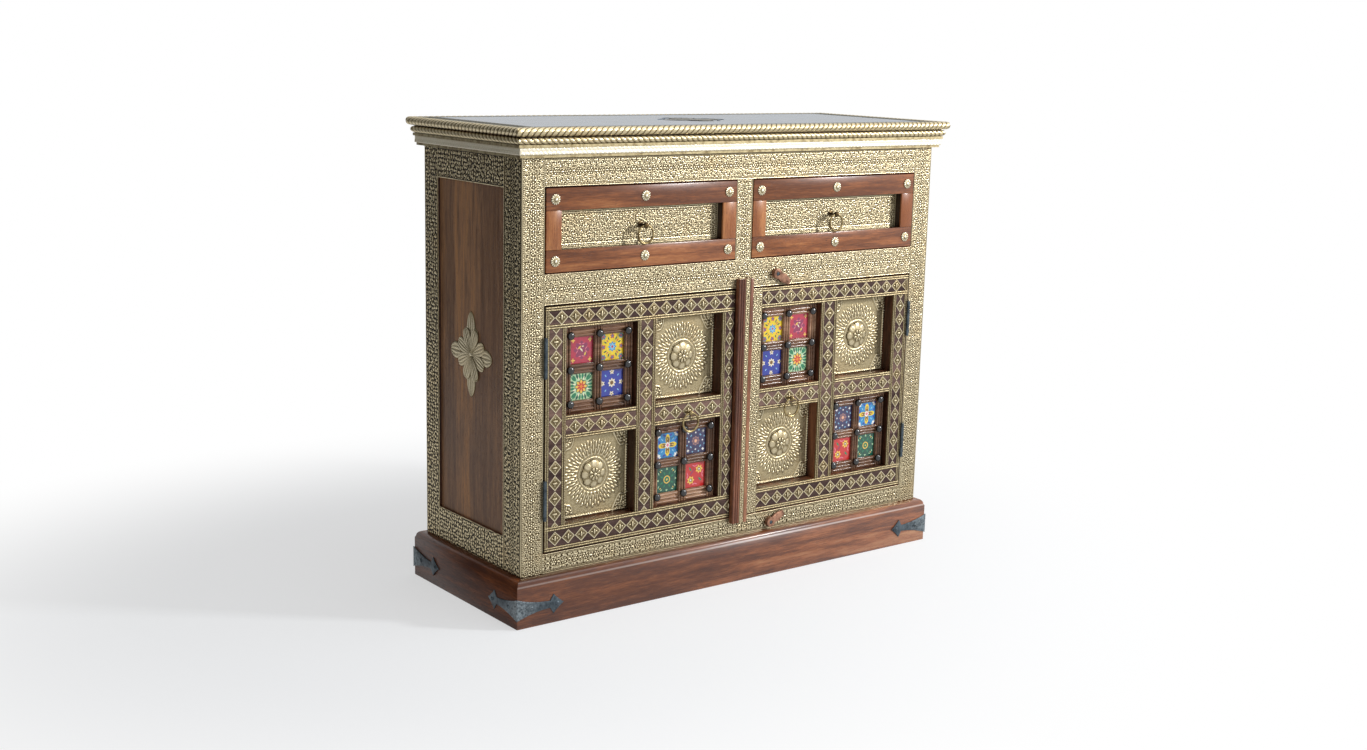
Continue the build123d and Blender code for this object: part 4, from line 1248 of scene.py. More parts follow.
@dataclass(frozen=True)
class Leaf:
    """A raised leaf or petal with a rib, lying on a face. Sizes are in millimetres."""

    length: float
    width: float
    rise: float
    belly: float = 0.45
    blunt: float = 0.7
    rib: float = 0.25
    columns: int = 10
    rows: int = 8
    vein: float = 0.0
    flat: float = 2.0
    tone: float = 0.8
    thin: float = 0.2

    def build(self, name: str) -> Piece:
        """Build the leaf from the origin along +X, rising along +Z."""
        warp = math.log(0.5) / math.log(self.belly)

        def place(u: Values, v: Values) -> Values:
            """Points of the leaf's face."""
            span = np.clip(np.sin(math.pi * u**warp), 0, 1)
            b = v * 2 - 1
            body = np.sqrt(np.clip(1 - np.abs(b) ** self.flat, 0, 1)) * span ** (0.8 / self.flat)
            crease = np.exp(-((b / self.thin) ** 2)) * self.rib
            groove = np.exp(-(((np.abs(b) - 0.48) / self.thin) ** 2)) * self.vein
            shade = np.clip(body * (0.85 - crease - groove), 0, 1)
            side = b * self.width / 2 * span**self.blunt
            return np.stack([u * self.length, side, shade * self.rise, 0.12 + self.tone * shade], 1)

        leaf = Bench.grid(name, self.columns, self.rows, place)
        Bench.close(leaf)
        return leaf


@dataclass(frozen=True)
class Rope:
    """A twisted moulding that runs along a mitred edge. Sizes are in millimetres."""

    radius: float
    strands: int
    lead: float
    depth: float
    hand: int
    mesh: float = 1.25

    def build(self, name: str, centre: Spot, along: Spot, outward: Spot, half_length: float) -> Piece:
        """Build one run of the rope.

        Args:
            name: The piece's name.
            centre: The middle of its axis.
            along: The direction that it runs in.
            outward: The direction away from the cabinet.
            half_length: Half its length on its axis, out to the mitre.

        Returns:
            The run, with mitred ends.
        """
        run, out, up = np.array(along), np.array(outward), np.array((0, 0, 1))
        columns, rows = max(8, round(2 * half_length / self.mesh)), 18

        def place(u: Values, v: Values) -> Values:
            """Points of the rope about its axis."""
            angle = v * 2 * math.pi
            s = (u * 2 - 1) * half_length
            phase = self.strands * (angle + self.hand * 2 * math.pi * s / self.lead) / 2
            lobe = np.abs(np.sin(phase)) ** 0.42
            radius = self.radius - self.depth * (1 - lobe)
            reach = radius * np.cos(angle)
            distance = (u * 2 - 1) * (half_length + reach)
            level = radius * np.sin(angle)
            spots = np.array(centre) + distance[:, None] * run + reach[:, None] * out + level[:, None] * up
            return np.column_stack((spots, np.clip((lobe - 0.45) / 0.3, 0, 0.8)))

        rope = Bench.grid(name, columns, rows, place)
        Bench.close(rope)
        return rope


@dataclass(frozen=True)
class Moulding:
    """A moulding with mitred ends, from its outline of reach and level in millimetres."""

    outline: tuple[Pair, ...]
    edge: float = 0.6

    def build(self, name: str, run: "Run", reach: float = 0.0) -> Piece:
        """Build one run of the moulding.

        Args:
            name: The piece's name.
            run: The edge that it follows.
            reach: How far out the outline's zero lies from that edge.

        Returns:
            The run, with its ends cut to the mitre.
        """
        outline = np.array(self.outline + self.outline[:1])
        steps = np.linspace(0, 1, len(outline))

        def place(u: Values, v: Values) -> Values:
            """Points of the outline along the run."""
            out = np.interp(v, steps, outline[:, 0]) + reach
            return run.points((u * 2 - 1) * (run.half + out), out, np.interp(v, steps, outline[:, 1]))

        piece = Bench.grid(name, 1, len(outline) - 1, place)
        Bench.outside(piece)
        Bench.round_edges(piece, self.edge * MM)
        Bench.smooth(piece)
        return piece


@dataclass(frozen=True)
class Run:
    """One edge of the cabinet's plan: how far out it lies and half its length, in millimetres."""

    label: str
    outward: Spot
    along: Spot
    distance: float
    half: float
    grain: Grain

    def points(self, along: Values, out: Values, level: Values) -> Values:
        """Points at distances along and out from this edge, at a level."""
        return (along[:, None] * np.array(self.along) + (out + self.distance)[:, None]
                * np.array(self.outward) + level[:, None] * np.array((0, 0, 1)))

    def spot(self, out: float, level: float, along: float = 0.0) -> Spot:
        """One such point."""
        return tuple(self.points(np.array([along]), np.array([out]), np.array([level]))[0])


def runs(half_x: float, half_y: float) -> tuple[Run, ...]:
    """The four edges of a rectangle about the origin, each running anticlockwise seen from above."""
    return (
        Run("front", (0, -1, 0), (1, 0, 0), half_y, half_x, Grain.ALONG_X),
        Run("right", (1, 0, 0), (0, 1, 0), half_x, half_y, Grain.ALONG_Y),
        Run("rear", (0, 1, 0), (-1, 0, 0), half_y, half_x, Grain.ALONG_X),
        Run("left", (-1, 0, 0), (0, -1, 0), half_x, half_y, Grain.ALONG_Y),
    )


# ---- Finishes in stock -------------------------------------------------------------------------


class Stock:
    """Every finish of the cabinet, made once."""

    def __init__(self) -> None:
        """Make the finishes."""
        self.wood = {grain: SheeshamWood(f"sheesham_{grain.name.lower()}", grain).make() for grain in Grain}
        # The plinth front carries a painted highlight along its moulded top edge.
        self.plinth = {
            grain: SheeshamWood(f"plinth_{grain.name.lower()}", grain, 3.0, srgb(82, 40, 20),
                                srgb(142, 82, 46), srgb(172, 120, 82), polish=polish, streak=0.3, gloss=0.24,
                                highlight_line_at=highlight_line_at).make()
            for grain, polish, highlight_line_at in ((Grain.ALONG_X, 0.9, 0.0785), (Grain.ALONG_Y, 0.12, 0.0))
        }
        # The drawer fronts darken their jambs and the gaps around them behind the face: painted shade.
        self.drawer = {
            grain: SheeshamWood(f"drawer_{grain.name.lower()}", grain, 7.0, dark, srgb(150, 88, 46),
                                srgb(190, 126, 74), polish=0.6, streak=0.3, gloss=0.24,
                                recess_shade_from=-0.1745).make()
            for grain, dark in ((Grain.ALONG_X, srgb(98, 52, 26)), (Grain.ALONG_Z, srgb(132, 74, 38)))
        }
        self.side = SheeshamWood("side_panel_wood", Grain.ALONG_Z, 5.0, srgb(122, 88, 64), srgb(168, 124, 90),
                                 srgb(204, 146, 94), 0.9, 0.0, 0.25).make()
        self.trellis = SheeshamWood("trellis_wood", Grain.ALONG_X, 9.0, srgb(92, 62, 42), srgb(144, 104, 76),
                                    srgb(190, 150, 118), polish=0.6, streak=0.2, gloss=0.18).make()
        self.veneer = SheeshamWood("veneer_wood", Grain.ALONG_X, 11.0, srgb(62, 44, 40), srgb(102, 80, 72),
                                   srgb(134, 106, 94), polish=0.0).make()
        self.strip_wood = SheeshamWood("meeting_strip_wood", Grain.ALONG_Z, 13.0, srgb(90, 50, 34),
                                       srgb(140, 86, 58), srgb(182, 128, 92), polish=0.6, streak=0.4,
                                       gloss=0.2).make()
        self.embossed = EmbossedBrass("embossed_brass").make()
        # The side sheets' brass is a darker copy of the front's: painted shade for the sides, which the lamps
        # light less.
        self.shaded = EmbossedBrass("shaded_brass", srgb(28, 23, 14), srgb(76, 64, 42), srgb(126, 110, 78),
                                    srgb(234, 218, 178)).make()
        self.rope = EmbossedBrass("rope_brass", srgb(44, 32, 18), srgb(104, 86, 54), srgb(158, 142, 106),
                                  srgb(206, 192, 156)).make()
        self.aged = EmbossedBrass("aged_brass", srgb(26, 26, 22), srgb(44, 43, 36), srgb(66, 64, 52),
                                  srgb(104, 100, 80), 0.3).make()
        self.band = EmbossedBrass("cornice_brass", srgb(112, 96, 66), srgb(168, 152, 118),
                                  srgb(208, 196, 164), srgb(240, 232, 210), 0.5).make()
        self.stud = EmbossedBrass("stud_brass", srgb(66, 54, 36), srgb(136, 124, 94), srgb(186, 176, 146),
                                  srgb(236, 228, 204)).make()
        self.cast = CastBrass("cast_brass", srgb(168, 150, 108), srgb(86, 68, 42)).make()
        self.dark = CastBrass("dark_brass", srgb(96, 78, 50), srgb(40, 30, 20)).make()
        self.strip = CastBrass("strip_brass", srgb(176, 162, 126), srgb(122, 106, 74), 0.8, 0.36).make()
        self.bronze = CastBrass("aged_bronze", srgb(164, 120, 96), srgb(92, 62, 46), 0.6, 0.4).make()
        self.iron = BlackIron("black_iron").make()
        self.top = LacqueredTop("lacquered_top").make()
        self.bead = BlackGlass("black_glass").make()
        self.tiles = {design: design.value.make() for design in Design}


@dataclass
class Ledger:
    """Gives each finished piece its finish, its body and the nodes that it stands for."""

    pieces: int = 0
    replaced: set[str] = field(default_factory=set)

    def enter(self, piece: Piece, finish: Material, slot: str, body: str, *nodes: str) -> None:
        """Finish a piece.

        Args:
            piece: The piece.
            finish: Its material.
            slot: The record's slot that the finish stands for; not used.
            body: The body that it moves with.
            nodes: The nodes that it stands for, unless an earlier piece does.
        """
        if not piece.data.materials:
            piece.data.materials.append(finish)
        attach(piece, body)
        nodes = [node for node in nodes if node not in self.replaced]
        if nodes:
            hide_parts(*nodes)
            self.replaced.update(nodes)
        self.pieces += 1
        LOG.info("%s rides on %s, %d faces", piece.name, body, len(piece.data.polygons))

    def dress(self, finish: Material, *nodes: str) -> None:
        """Give nodes that keep their own shape a finish."""
        for node in nodes:
            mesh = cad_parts[node].data
            mesh.materials.clear()
            mesh.materials.append(finish)
            LOG.info("%s is dressed", node)

    def soften(self, node: str, finish: Material, slot: str, body: str, edge: float) -> None:
        """Stand in for a node with a copy whose edges are broken.

        Args:
            node: The node.
            finish: Its material.
            slot: The record's slot.
            body: The body that it moves with.
            edge: How much its edges are broken, in millimetres.
        """
        piece = bpy.data.objects.new(node + "_finished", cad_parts[node].data.copy())
        piece.data.materials.clear()
        bpy.context.collection.objects.link(piece)
        with Bench.editing(piece):
            bpy.ops.mesh.remove_doubles(threshold=0.00001)
            bpy.ops.mesh.dissolve_limited(angle_limit=math.radians(0.5))
        Bench.round_edges(piece, edge * MM)
        Bench.smooth(piece)
        self.enter(piece, finish, slot, body, node)


def mid(stretch: Pair) -> float:
    """The middle of a stretch."""
    return (stretch[0] + stretch[1]) / 2


def span(node: str) -> tuple[Vector, Vector]:
    """The lowest and highest corners of a node, in millimetres."""
    low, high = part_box(node)
    return Vector(low) * 1000, Vector(high) * 1000


# ---- Sub-assemblies ----------------------------------------------------------------------------


@dataclass
class Base:
    """The plinth boards with their rounded top edge, and the iron corner straps."""

    stock: Stock
    ledger: Ledger
    thick: float = 19.2
    flat: float = 77.0
    arris: float = 2.0
    round: float = 10.0

    def build(self) -> None:
        """Build the four boards and dress the straps."""
        high = span("plinth_boards")[1]
        shoulder = self.thick - self.arris
        crown = [
            (shoulder - self.round * (1 - math.cos(turn)), high.z - self.round * (1 - math.sin(turn)))
            for turn in np.linspace(0, math.pi / 2, 7)
        ]
        outline = ((0, 0), (self.thick, 0), (self.thick, self.flat), *crown, (0, high.z))
        board = Moulding(outline, 0.7)
        for run in runs(high.x - self.thick, high.y - self.thick):
            piece, finish = board.build(f"plinth_{run.label}", run), self.stock.plinth[run.grain]
            self.ledger.enter(piece, finish, "sheesham_wood", "carcass", "plinth_boards")
        self.ledger.soften("corner_straps", self.stock.iron, "black_iron", "carcass", 0.6)


@dataclass
class Cladding:
    """The embossed brass sheets over the posts and rails."""

    stock: Stock
    ledger: Ledger
    fine: float = 0.95
    coarse: float = 1.2
    seam: float = 0.15
    ground: float = 0.45
    door_gap: float = 3.0
    drawer_gap: float = 2.6

    def build(self) -> None:
        """Build the sheets of the front and of both sides."""
        self.front()
        for side, label in ((-1, "left"), (1, "right")):
            self.side(side, label)

    def front(self) -> None:
        """The sheets of the front posts, rails and divider."""
        low, high = span("front_brass_sheet")
        face, foot, head = high.y, low.z, high.z
        door_low, door_high = span("door_left_frame")[0], span("door_right_frame")[1]
        drawer_low, drawer_high = span("drawer_left_front_frame")[0], span("drawer_right_front_frame")[1]
        divider = span("drawer_divider")
        opening = door_high.x + self.door_gap
        door = (door_low.z - self.door_gap, door_high.z + self.door_gap)
        drawer = (drawer_low.z - self.drawer_gap, drawer_high.z + self.drawer_gap)
        plates = {
            "front_post_brass_left": ((low.x, face, foot), (-opening, face, head), True),
            "front_post_brass_right": ((opening, face, foot), (high.x, face, head), True),
            "bottom_rail_brass": ((-opening, face, foot), (opening, face, door[0]), False),
            "middle_rail_brass": ((-opening, face, door[1]), (opening, face, drawer[0]), False),
            "top_rail_brass": ((-opening, face, drawer[1]), (opening, face, head), False),
            "divider_brass": ((divider[0].x, face, drawer[0]), (divider[1].x, face, drawer[1]), True),
        }
        for name, (start, end, upright) in plates.items():
            relief, hollows = (VineBand(leaf=6.2), 3.4) if name == "bottom_rail_brass" else (VineBand(), 2.2)
            sheet = EmbossedSheet.over(name, start, end, FRONT, relief, upright, self.seam, mesh=self.fine,
                                       contrast=1.6, hollows=hollows, ground=self.ground)
            nodes = ("front_brass_sheet",) if name == "top_rail_brass" else ()
            self.ledger.enter(sheet, self.stock.embossed, "embossed_brass", "carcass", *nodes)

    def side(self, side: int, label: str) -> None:
        """The sheets of one side's posts and rails."""
        low, high = span("side_brass_sheets")
        face = span("front_posts")[1].x * side
        front_y, rear_y = span("front_posts")[1].y, span("rear_posts")[0].y
        panel_low, panel_high = span("side_panels")
        lattice, vine = LatticeBand(24.0, leaf=7.6), VineBand(leaf=7.0)
        plates = {
            "front_post": ((low.y, low.z), (front_y, high.z), True, vine),
            "rear_post": ((rear_y, low.z), (high.y, high.z), True, lattice),
            "lower_rail": ((front_y, low.z), (rear_y, panel_low.z), False, lattice),
            "upper_rail": ((front_y, panel_high.z), (rear_y, high.z), False, lattice),
        }
        for part, (start, end, upright, relief) in plates.items():
            sheet = EmbossedSheet.over(f"{label}_side_{part}_brass", (face, *start), (face, *end),
                                       (side, 0, 0), relief, upright, self.seam, mesh=self.coarse,
                                       contrast=1.8, hollows=4.0, ground=self.ground)
            # The sides take the darker brass: painted shade.
            self.ledger.enter(sheet, self.stock.shaded, "embossed_brass", "carcass", "side_brass_sheets")


@dataclass
class Top:
    """The top: its border, its panel, the rope mouldings and the cornice below."""

    stock: Stock
    ledger: Ledger
    lower_radius: float = 7.0
    upper_radius: float = 8.0
    strands: int = 3
    pitch: float = 12.0
    fillet: float = 5.0
    band_proud: float = 12.7

    def build(self) -> None:
        """Build the mouldings and dress the boards."""
        self.ropes()
        self.cornice()
        self.border()
        self.ledger.dress(self.stock.top, "top_panel")
        self.ledger.dress(self.stock.wood[Grain.ALONG_X], "top_board")

    def ropes(self) -> None:
        """The two rope mouldings, laid in opposite ways."""
        for label, radius, hand in (("lower", self.lower_radius, 1), ("upper", self.upper_radius, -1)):
            node = f"cornice_{label}_rope"
            low, high = span(node)
            level = mid((low.z, high.z))
            rope = Rope(radius, self.strands, self.pitch * self.strands, radius * 0.22, hand)
            for run in runs(high.x - radius, high.y - radius):
                piece = rope.build(f"{label}_rope_{run.label}", run.spot(0, level), run.along, run.outward,
                                   run.half)
                self.ledger.enter(piece, self.stock.rope, "embossed_brass", "carcass", node)

    def cornice(self) -> None:
        """The scalloped band between its two fillets."""
        low, high = span("cornice_moulding")
        self.ledger.dress(self.stock.strip, "cornice_moulding")
        body = span("front_brass_sheet")
        for run in runs(body[1].x, -body[0].y):
            width = high.z - low.z - 2 * self.fillet
            length = 2 * (run.half + self.band_proud)
            middle = run.spot(self.band_proud - 0.3, mid((low.z, high.z)))
            sheet = EmbossedSheet(f"cornice_band_{run.label}", middle, run.along, run.outward, length, width,
                                  Scallops(), 1.2, 0.55, 1.2, 0.5, ground=0.8).build()
            self.ledger.enter(sheet, self.stock.band, "embossed_brass", "carcass")

    def border(self) -> None:
        """The embossed border around the panel."""
        low, high = span("top_brass_border")
        inner = span("top_panel")[1]
        deep, wide = high.y - inner.y, high.x - inner.x
        for label, side in (("front", -1), ("rear", 1), ("left", -1), ("right", 1)):
            if label in ("front", "rear"):
                spot, along, length, width = (0, side * mid((high.y, inner.y))), (1, 0, 0), 2 * high.x, deep
            else:
                spot, along, length, width = (side * mid((high.x, inner.x)), 0), (0, 1, 0), 2 * inner.y, wide
            sheet = EmbossedSheet(f"top_border_{label}", (*spot, low.z), along, (0, 0, 1), length, width,
                                  Coil(), 1.8, 0.4, 1.6).build()
            self.ledger.enter(sheet, self.stock.aged, "embossed_brass", "carcass", "top_brass_border")


@dataclass
class Motifs:
    """The leafy brass motifs of the side panels and the top."""

    stock: Stock
    ledger: Ledger
    size: float = 162.0
    top_reach: float = 72.0
    sunk: float = 0.3
    top_rise: float = 0.4
    overlap: float = 0.08
    layer: float = 0.7

    def build(self) -> None:
        """Build the three motifs."""
        low, high = span("brass_motifs")
        panel_high = span("side_panels")[1]
        height = low.z + self.size / 2
        for side, label in ((-1, "left"), (1, "right")):
            middle = (side * panel_high.x, mid((low.y, high.y)), height)
            piece = self.motif(f"{label}_side_motif", middle, (side, 0, 0), self.size / 2)
            self.ledger.enter(piece, self.stock.embossed, "embossed_brass", "carcass", "brass_motifs")
        top = span("top_panel")[1].z
        piece = self.motif("top_motif", (0, 0, top - self.sunk), (0, 0, 1), self.top_reach)
        self.ledger.enter(piece, self.stock.aged, "embossed_brass", "carcass")

    def motif(self, name: str, middle: Spot, outward: Spot,
              reach: float) -> Piece:
        """Build one motif of leaves about a boss.

        Args:
            name: The piece's name.
            middle: Its middle on the face.
            outward: The face's direction.
            reach: How far its long leaves reach.

        Returns:
            The motif.
        """
        share = reach / self.size * 2
        long_leaf = Leaf(48 * share, 31 * share, 1.2, 0.42, 0.62, 0.5, 24, 24, 0.35, 6.0, thin=0.12)
        side_leaf = Leaf(37 * share, 33 * share, 1.2, 0.44, 0.52, 0.5, 24, 24, 0.35, 6.0, thin=0.12)
        petal = Leaf(50 * share, 27 * share, 1.3, 0.7, 0.42, 0.55, 24, 28, 0.4, 7.0, thin=0.1)
        lobe = Leaf(19 * share, 21 * share, 1.1, 0.6, 0.4, 0.4, 14, 14, 0.0, 5.0, thin=0.14)
        plan = [(lobe, 34 * share, way + lean) for way in (math.pi / 2, -math.pi / 2)
                for lean in (-0.33, 0.33)]
        plan += [(long_leaf, 33 * share, math.pi / 2), (long_leaf, 33 * share, -math.pi / 2)]
        plan += [(side_leaf, 38 * share, 0.0), (side_leaf, 38 * share, math.pi)]
        plan += [(petal, 1.5 * share, (step + 0.5) * math.pi / 4) for step in (0, 3, 4, 7, 1, 2, 5, 6)]
        face = seat(middle, outward)
        flatten = Matrix.Diagonal((1.0, 1.0, self.top_rise if outward[2] else 1.0, 1.0))
        leaves = []
        for index, (leaf, start, angle) in enumerate(plan):
            piece = leaf.build(f"{name}_leaf_{index}")
            turn = Matrix.Rotation(angle, 4, "Z")
            level = index * self.overlap + (self.layer if index >= len(plan) - 4 else 0.0)
            lift = Matrix.Translation((start * MM, 0, level * MM))
            piece.data.transform(face @ flatten @ turn @ lift)
            leaves.append(piece)
        boss = Bench.turned(f"{name}_boss", ((6 * share, 0), (5.6 * share, 1.2), (4 * share, 2.0),
                                             (1.5, 2.4)), tone=0.9)
        boss.data.transform(face @ flatten)
        Bench.smooth(boss)
        return Bench.join(name, [*leaves, boss])


@dataclass
class Carcass:
    """The wood of the body: posts, rails, panels and boards."""

    stock: Stock
    ledger: Ledger

    def build(self) -> None:
        """Break the edges of what shows and dress the rest."""
        wood = self.stock.wood
        self.ledger.soften("rear_rails", wood[Grain.ALONG_X], "sheesham_wood", "carcass", 1.0)
        for node in ("rear_posts", "front_posts"):
            self.ledger.soften(node, wood[Grain.ALONG_Z], "sheesham_wood", "carcass", 1.0)
        self.ledger.dress(self.stock.side, "side_panels")
        self.ledger.dress(wood[Grain.ALONG_Z], "drawer_divider", "drawer_partition", "back_panel")
        self.ledger.dress(wood[Grain.ALONG_X], "front_rails", "bottom_board", "dust_board", "shelf")
        self.ledger.dress(wood[Grain.ALONG_Y], "side_rails", "drawer_guides", "shelf_cleats")
        self.ledger.dress(self.stock.iron, "hinge_posts")


@dataclass(frozen=True)
class Ornament:
    """Small cast ornaments that are made once and set in many places."""

    @staticmethod
    def stud(name: str, radius: float, rise: float) -> Piece:
        """A daisy stud: a disc, thirteen petals and a boss."""
        disc = Bench.turned(name + "_disc", ((radius * 0.84, 0), (radius * 0.82, rise * 0.22),
                                             (radius * 0.6, rise * 0.48), (radius * 0.1, rise * 0.74)),
                            26, 0.28)
        Bench.smooth(disc)
        petal = Leaf(radius * 0.88, radius * 0.35, rise * 0.34, 0.78, 0.55, 0.0, 10, 6).build(name + "_petal")
        sector = 2 * math.pi / 13
        lean = Matrix.Rotation(math.atan(rise * 0.55 / (radius * 0.88)), 4, "Y")
        lift = Matrix.Translation((radius * 0.11 * MM, 0, rise * 0.62 * MM)) @ lean
        places = [Matrix.Rotation(sector * step, 4, "Z") @ lift for step in range(13)]
        ring = Bench.scatter(name + "_ring", petal, places)
        boss = Bench.turned(name + "_boss", ((radius * 0.26, rise * 0.6), (radius * 0.23, rise * 0.84),
                                             (radius * 0.07, rise)), 16, 0.85)
        Bench.smooth(boss)
        return Bench.join(name, [disc, ring, boss])

    @staticmethod
    def ring(name: str, node: str, thin: float, thick: float) -> Piece:
        """A loose ring, thin where it hangs and thick at its foot."""
        low, high = span(node)
        radius = (high.x - low.x) / 2 - thin
        middle = (low + high) / 2
        bpy.ops.mesh.primitive_torus_add(major_radius=radius * MM, minor_radius=thin * MM, major_segments=56,
                                         minor_segments=14)
        ring = Bench.settle(bpy.context.object, name)
        points = Bench.points(ring) / MM
        angle = np.arctan2(points[:, 1], points[:, 0])
        wire = np.stack([np.cos(angle) * radius, np.sin(angle) * radius, np.zeros_like(angle)], 1)
        drop = (1 - np.sin(angle)) / 2
        scale = (1 + (thick / thin - 1) * drop**1.5)[:, None]
        points = wire + (points - wire) * scale
        points[:, :2] *= ((radius - (thick - thin) * 0.5 * drop**1.5) / radius)[:, None]
        standing = np.stack([points[:, 0] + middle.x, points[:, 2] + middle.y, points[:, 1] + middle.z], 1)
        Bench.move(ring, standing * MM)
        Bench.outside(ring)
        return ring


@dataclass
class Drawer:
    """One drawer: its front frame, embossed panel, studs, pull and box."""

    stock: Stock
    ledger: Ledger
    name: str
    stud_radius: float = 10.5

    def build(self) -> None:
        """Build the drawer's front and dress its box."""
        self.front()
        self.panel()
        self.studs()
        ring = Ornament.ring(f"{self.name}_ring", f"{self.name}_pull_ring", 1.7, 2.5)
        self.ledger.enter(ring, self.stock.cast, "cast_brass", f"{self.name}_ring", f"{self.name}_pull_ring")
        self.ledger.soften(f"{self.name}_pull_post", self.stock.dark, "cast_brass", self.name, 0.2)
        self.ledger.dress(self.stock.wood[Grain.ALONG_Y], f"{self.name}_box")

    def front(self) -> None:
        """The frame's rails and stiles, their edges broken."""
        low, high = span(f"{self.name}_front_frame")
        inner_low, inner_high = span(f"{self.name}_brass_panel")
        rails = [
            Bench.block("lower", low, (high.x, high.y, inner_low.z), 1.6),
            Bench.block("upper", (low.x, low.y, inner_high.z), high, 1.6),
        ]
        stiles = [
            Bench.block("first", (low.x, low.y, inner_low.z), (inner_low.x, high.y, inner_high.z), 1.0),
            Bench.block("last", (inner_high.x, low.y, inner_low.z), (high.x, high.y, inner_high.z), 1.0),
        ]
        for label, boards, grain in (("rails", rails, Grain.ALONG_X), ("stiles", stiles, Grain.ALONG_Z)):
            piece = Bench.join(f"{self.name}_front_{label}", boards)
            Bench.smooth(piece)
            self.ledger.enter(piece, self.stock.drawer[grain], "sheesham_wood", self.name,
                              f"{self.name}_front_frame")

    def panel(self) -> None:
        """The embossed panel in the recess."""
        low, high = span(f"{self.name}_brass_panel")
        face = low.y + 1.2
        sheet = EmbossedSheet.over(f"{self.name}_embossed_panel", (low.x, face, low.z),
                                   (high.x, face, high.z), FRONT, Garland(), mesh=1.0, low=0.5, high=1.8,
                                   contrast=1.3, hollows=2.2, ground=0.44)
        self.ledger.enter(sheet, self.stock.embossed, "embossed_brass", self.name, f"{self.name}_brass_panel")

    def studs(self) -> None:
        """Six daisy studs on the corners and the middles of the rails."""
        low, high = span(f"{self.name}_studs")
        radius = self.stud_radius
        across = (low.x + radius, mid((low.x, high.x)), high.x - radius)
        spots = [(x, high.y, z) for x in across for z in (low.z + radius, high.z - radius)]
        stud = Ornament.stud("stud", radius, high.y - low.y)
        piece = Bench.scatter(f"{self.name}_daisies", stud, [seat(spot, FRONT) for spot in spots])
        self.ledger.enter(piece, self.stock.stud, "cast_brass", self.name, f"{self.name}_studs")


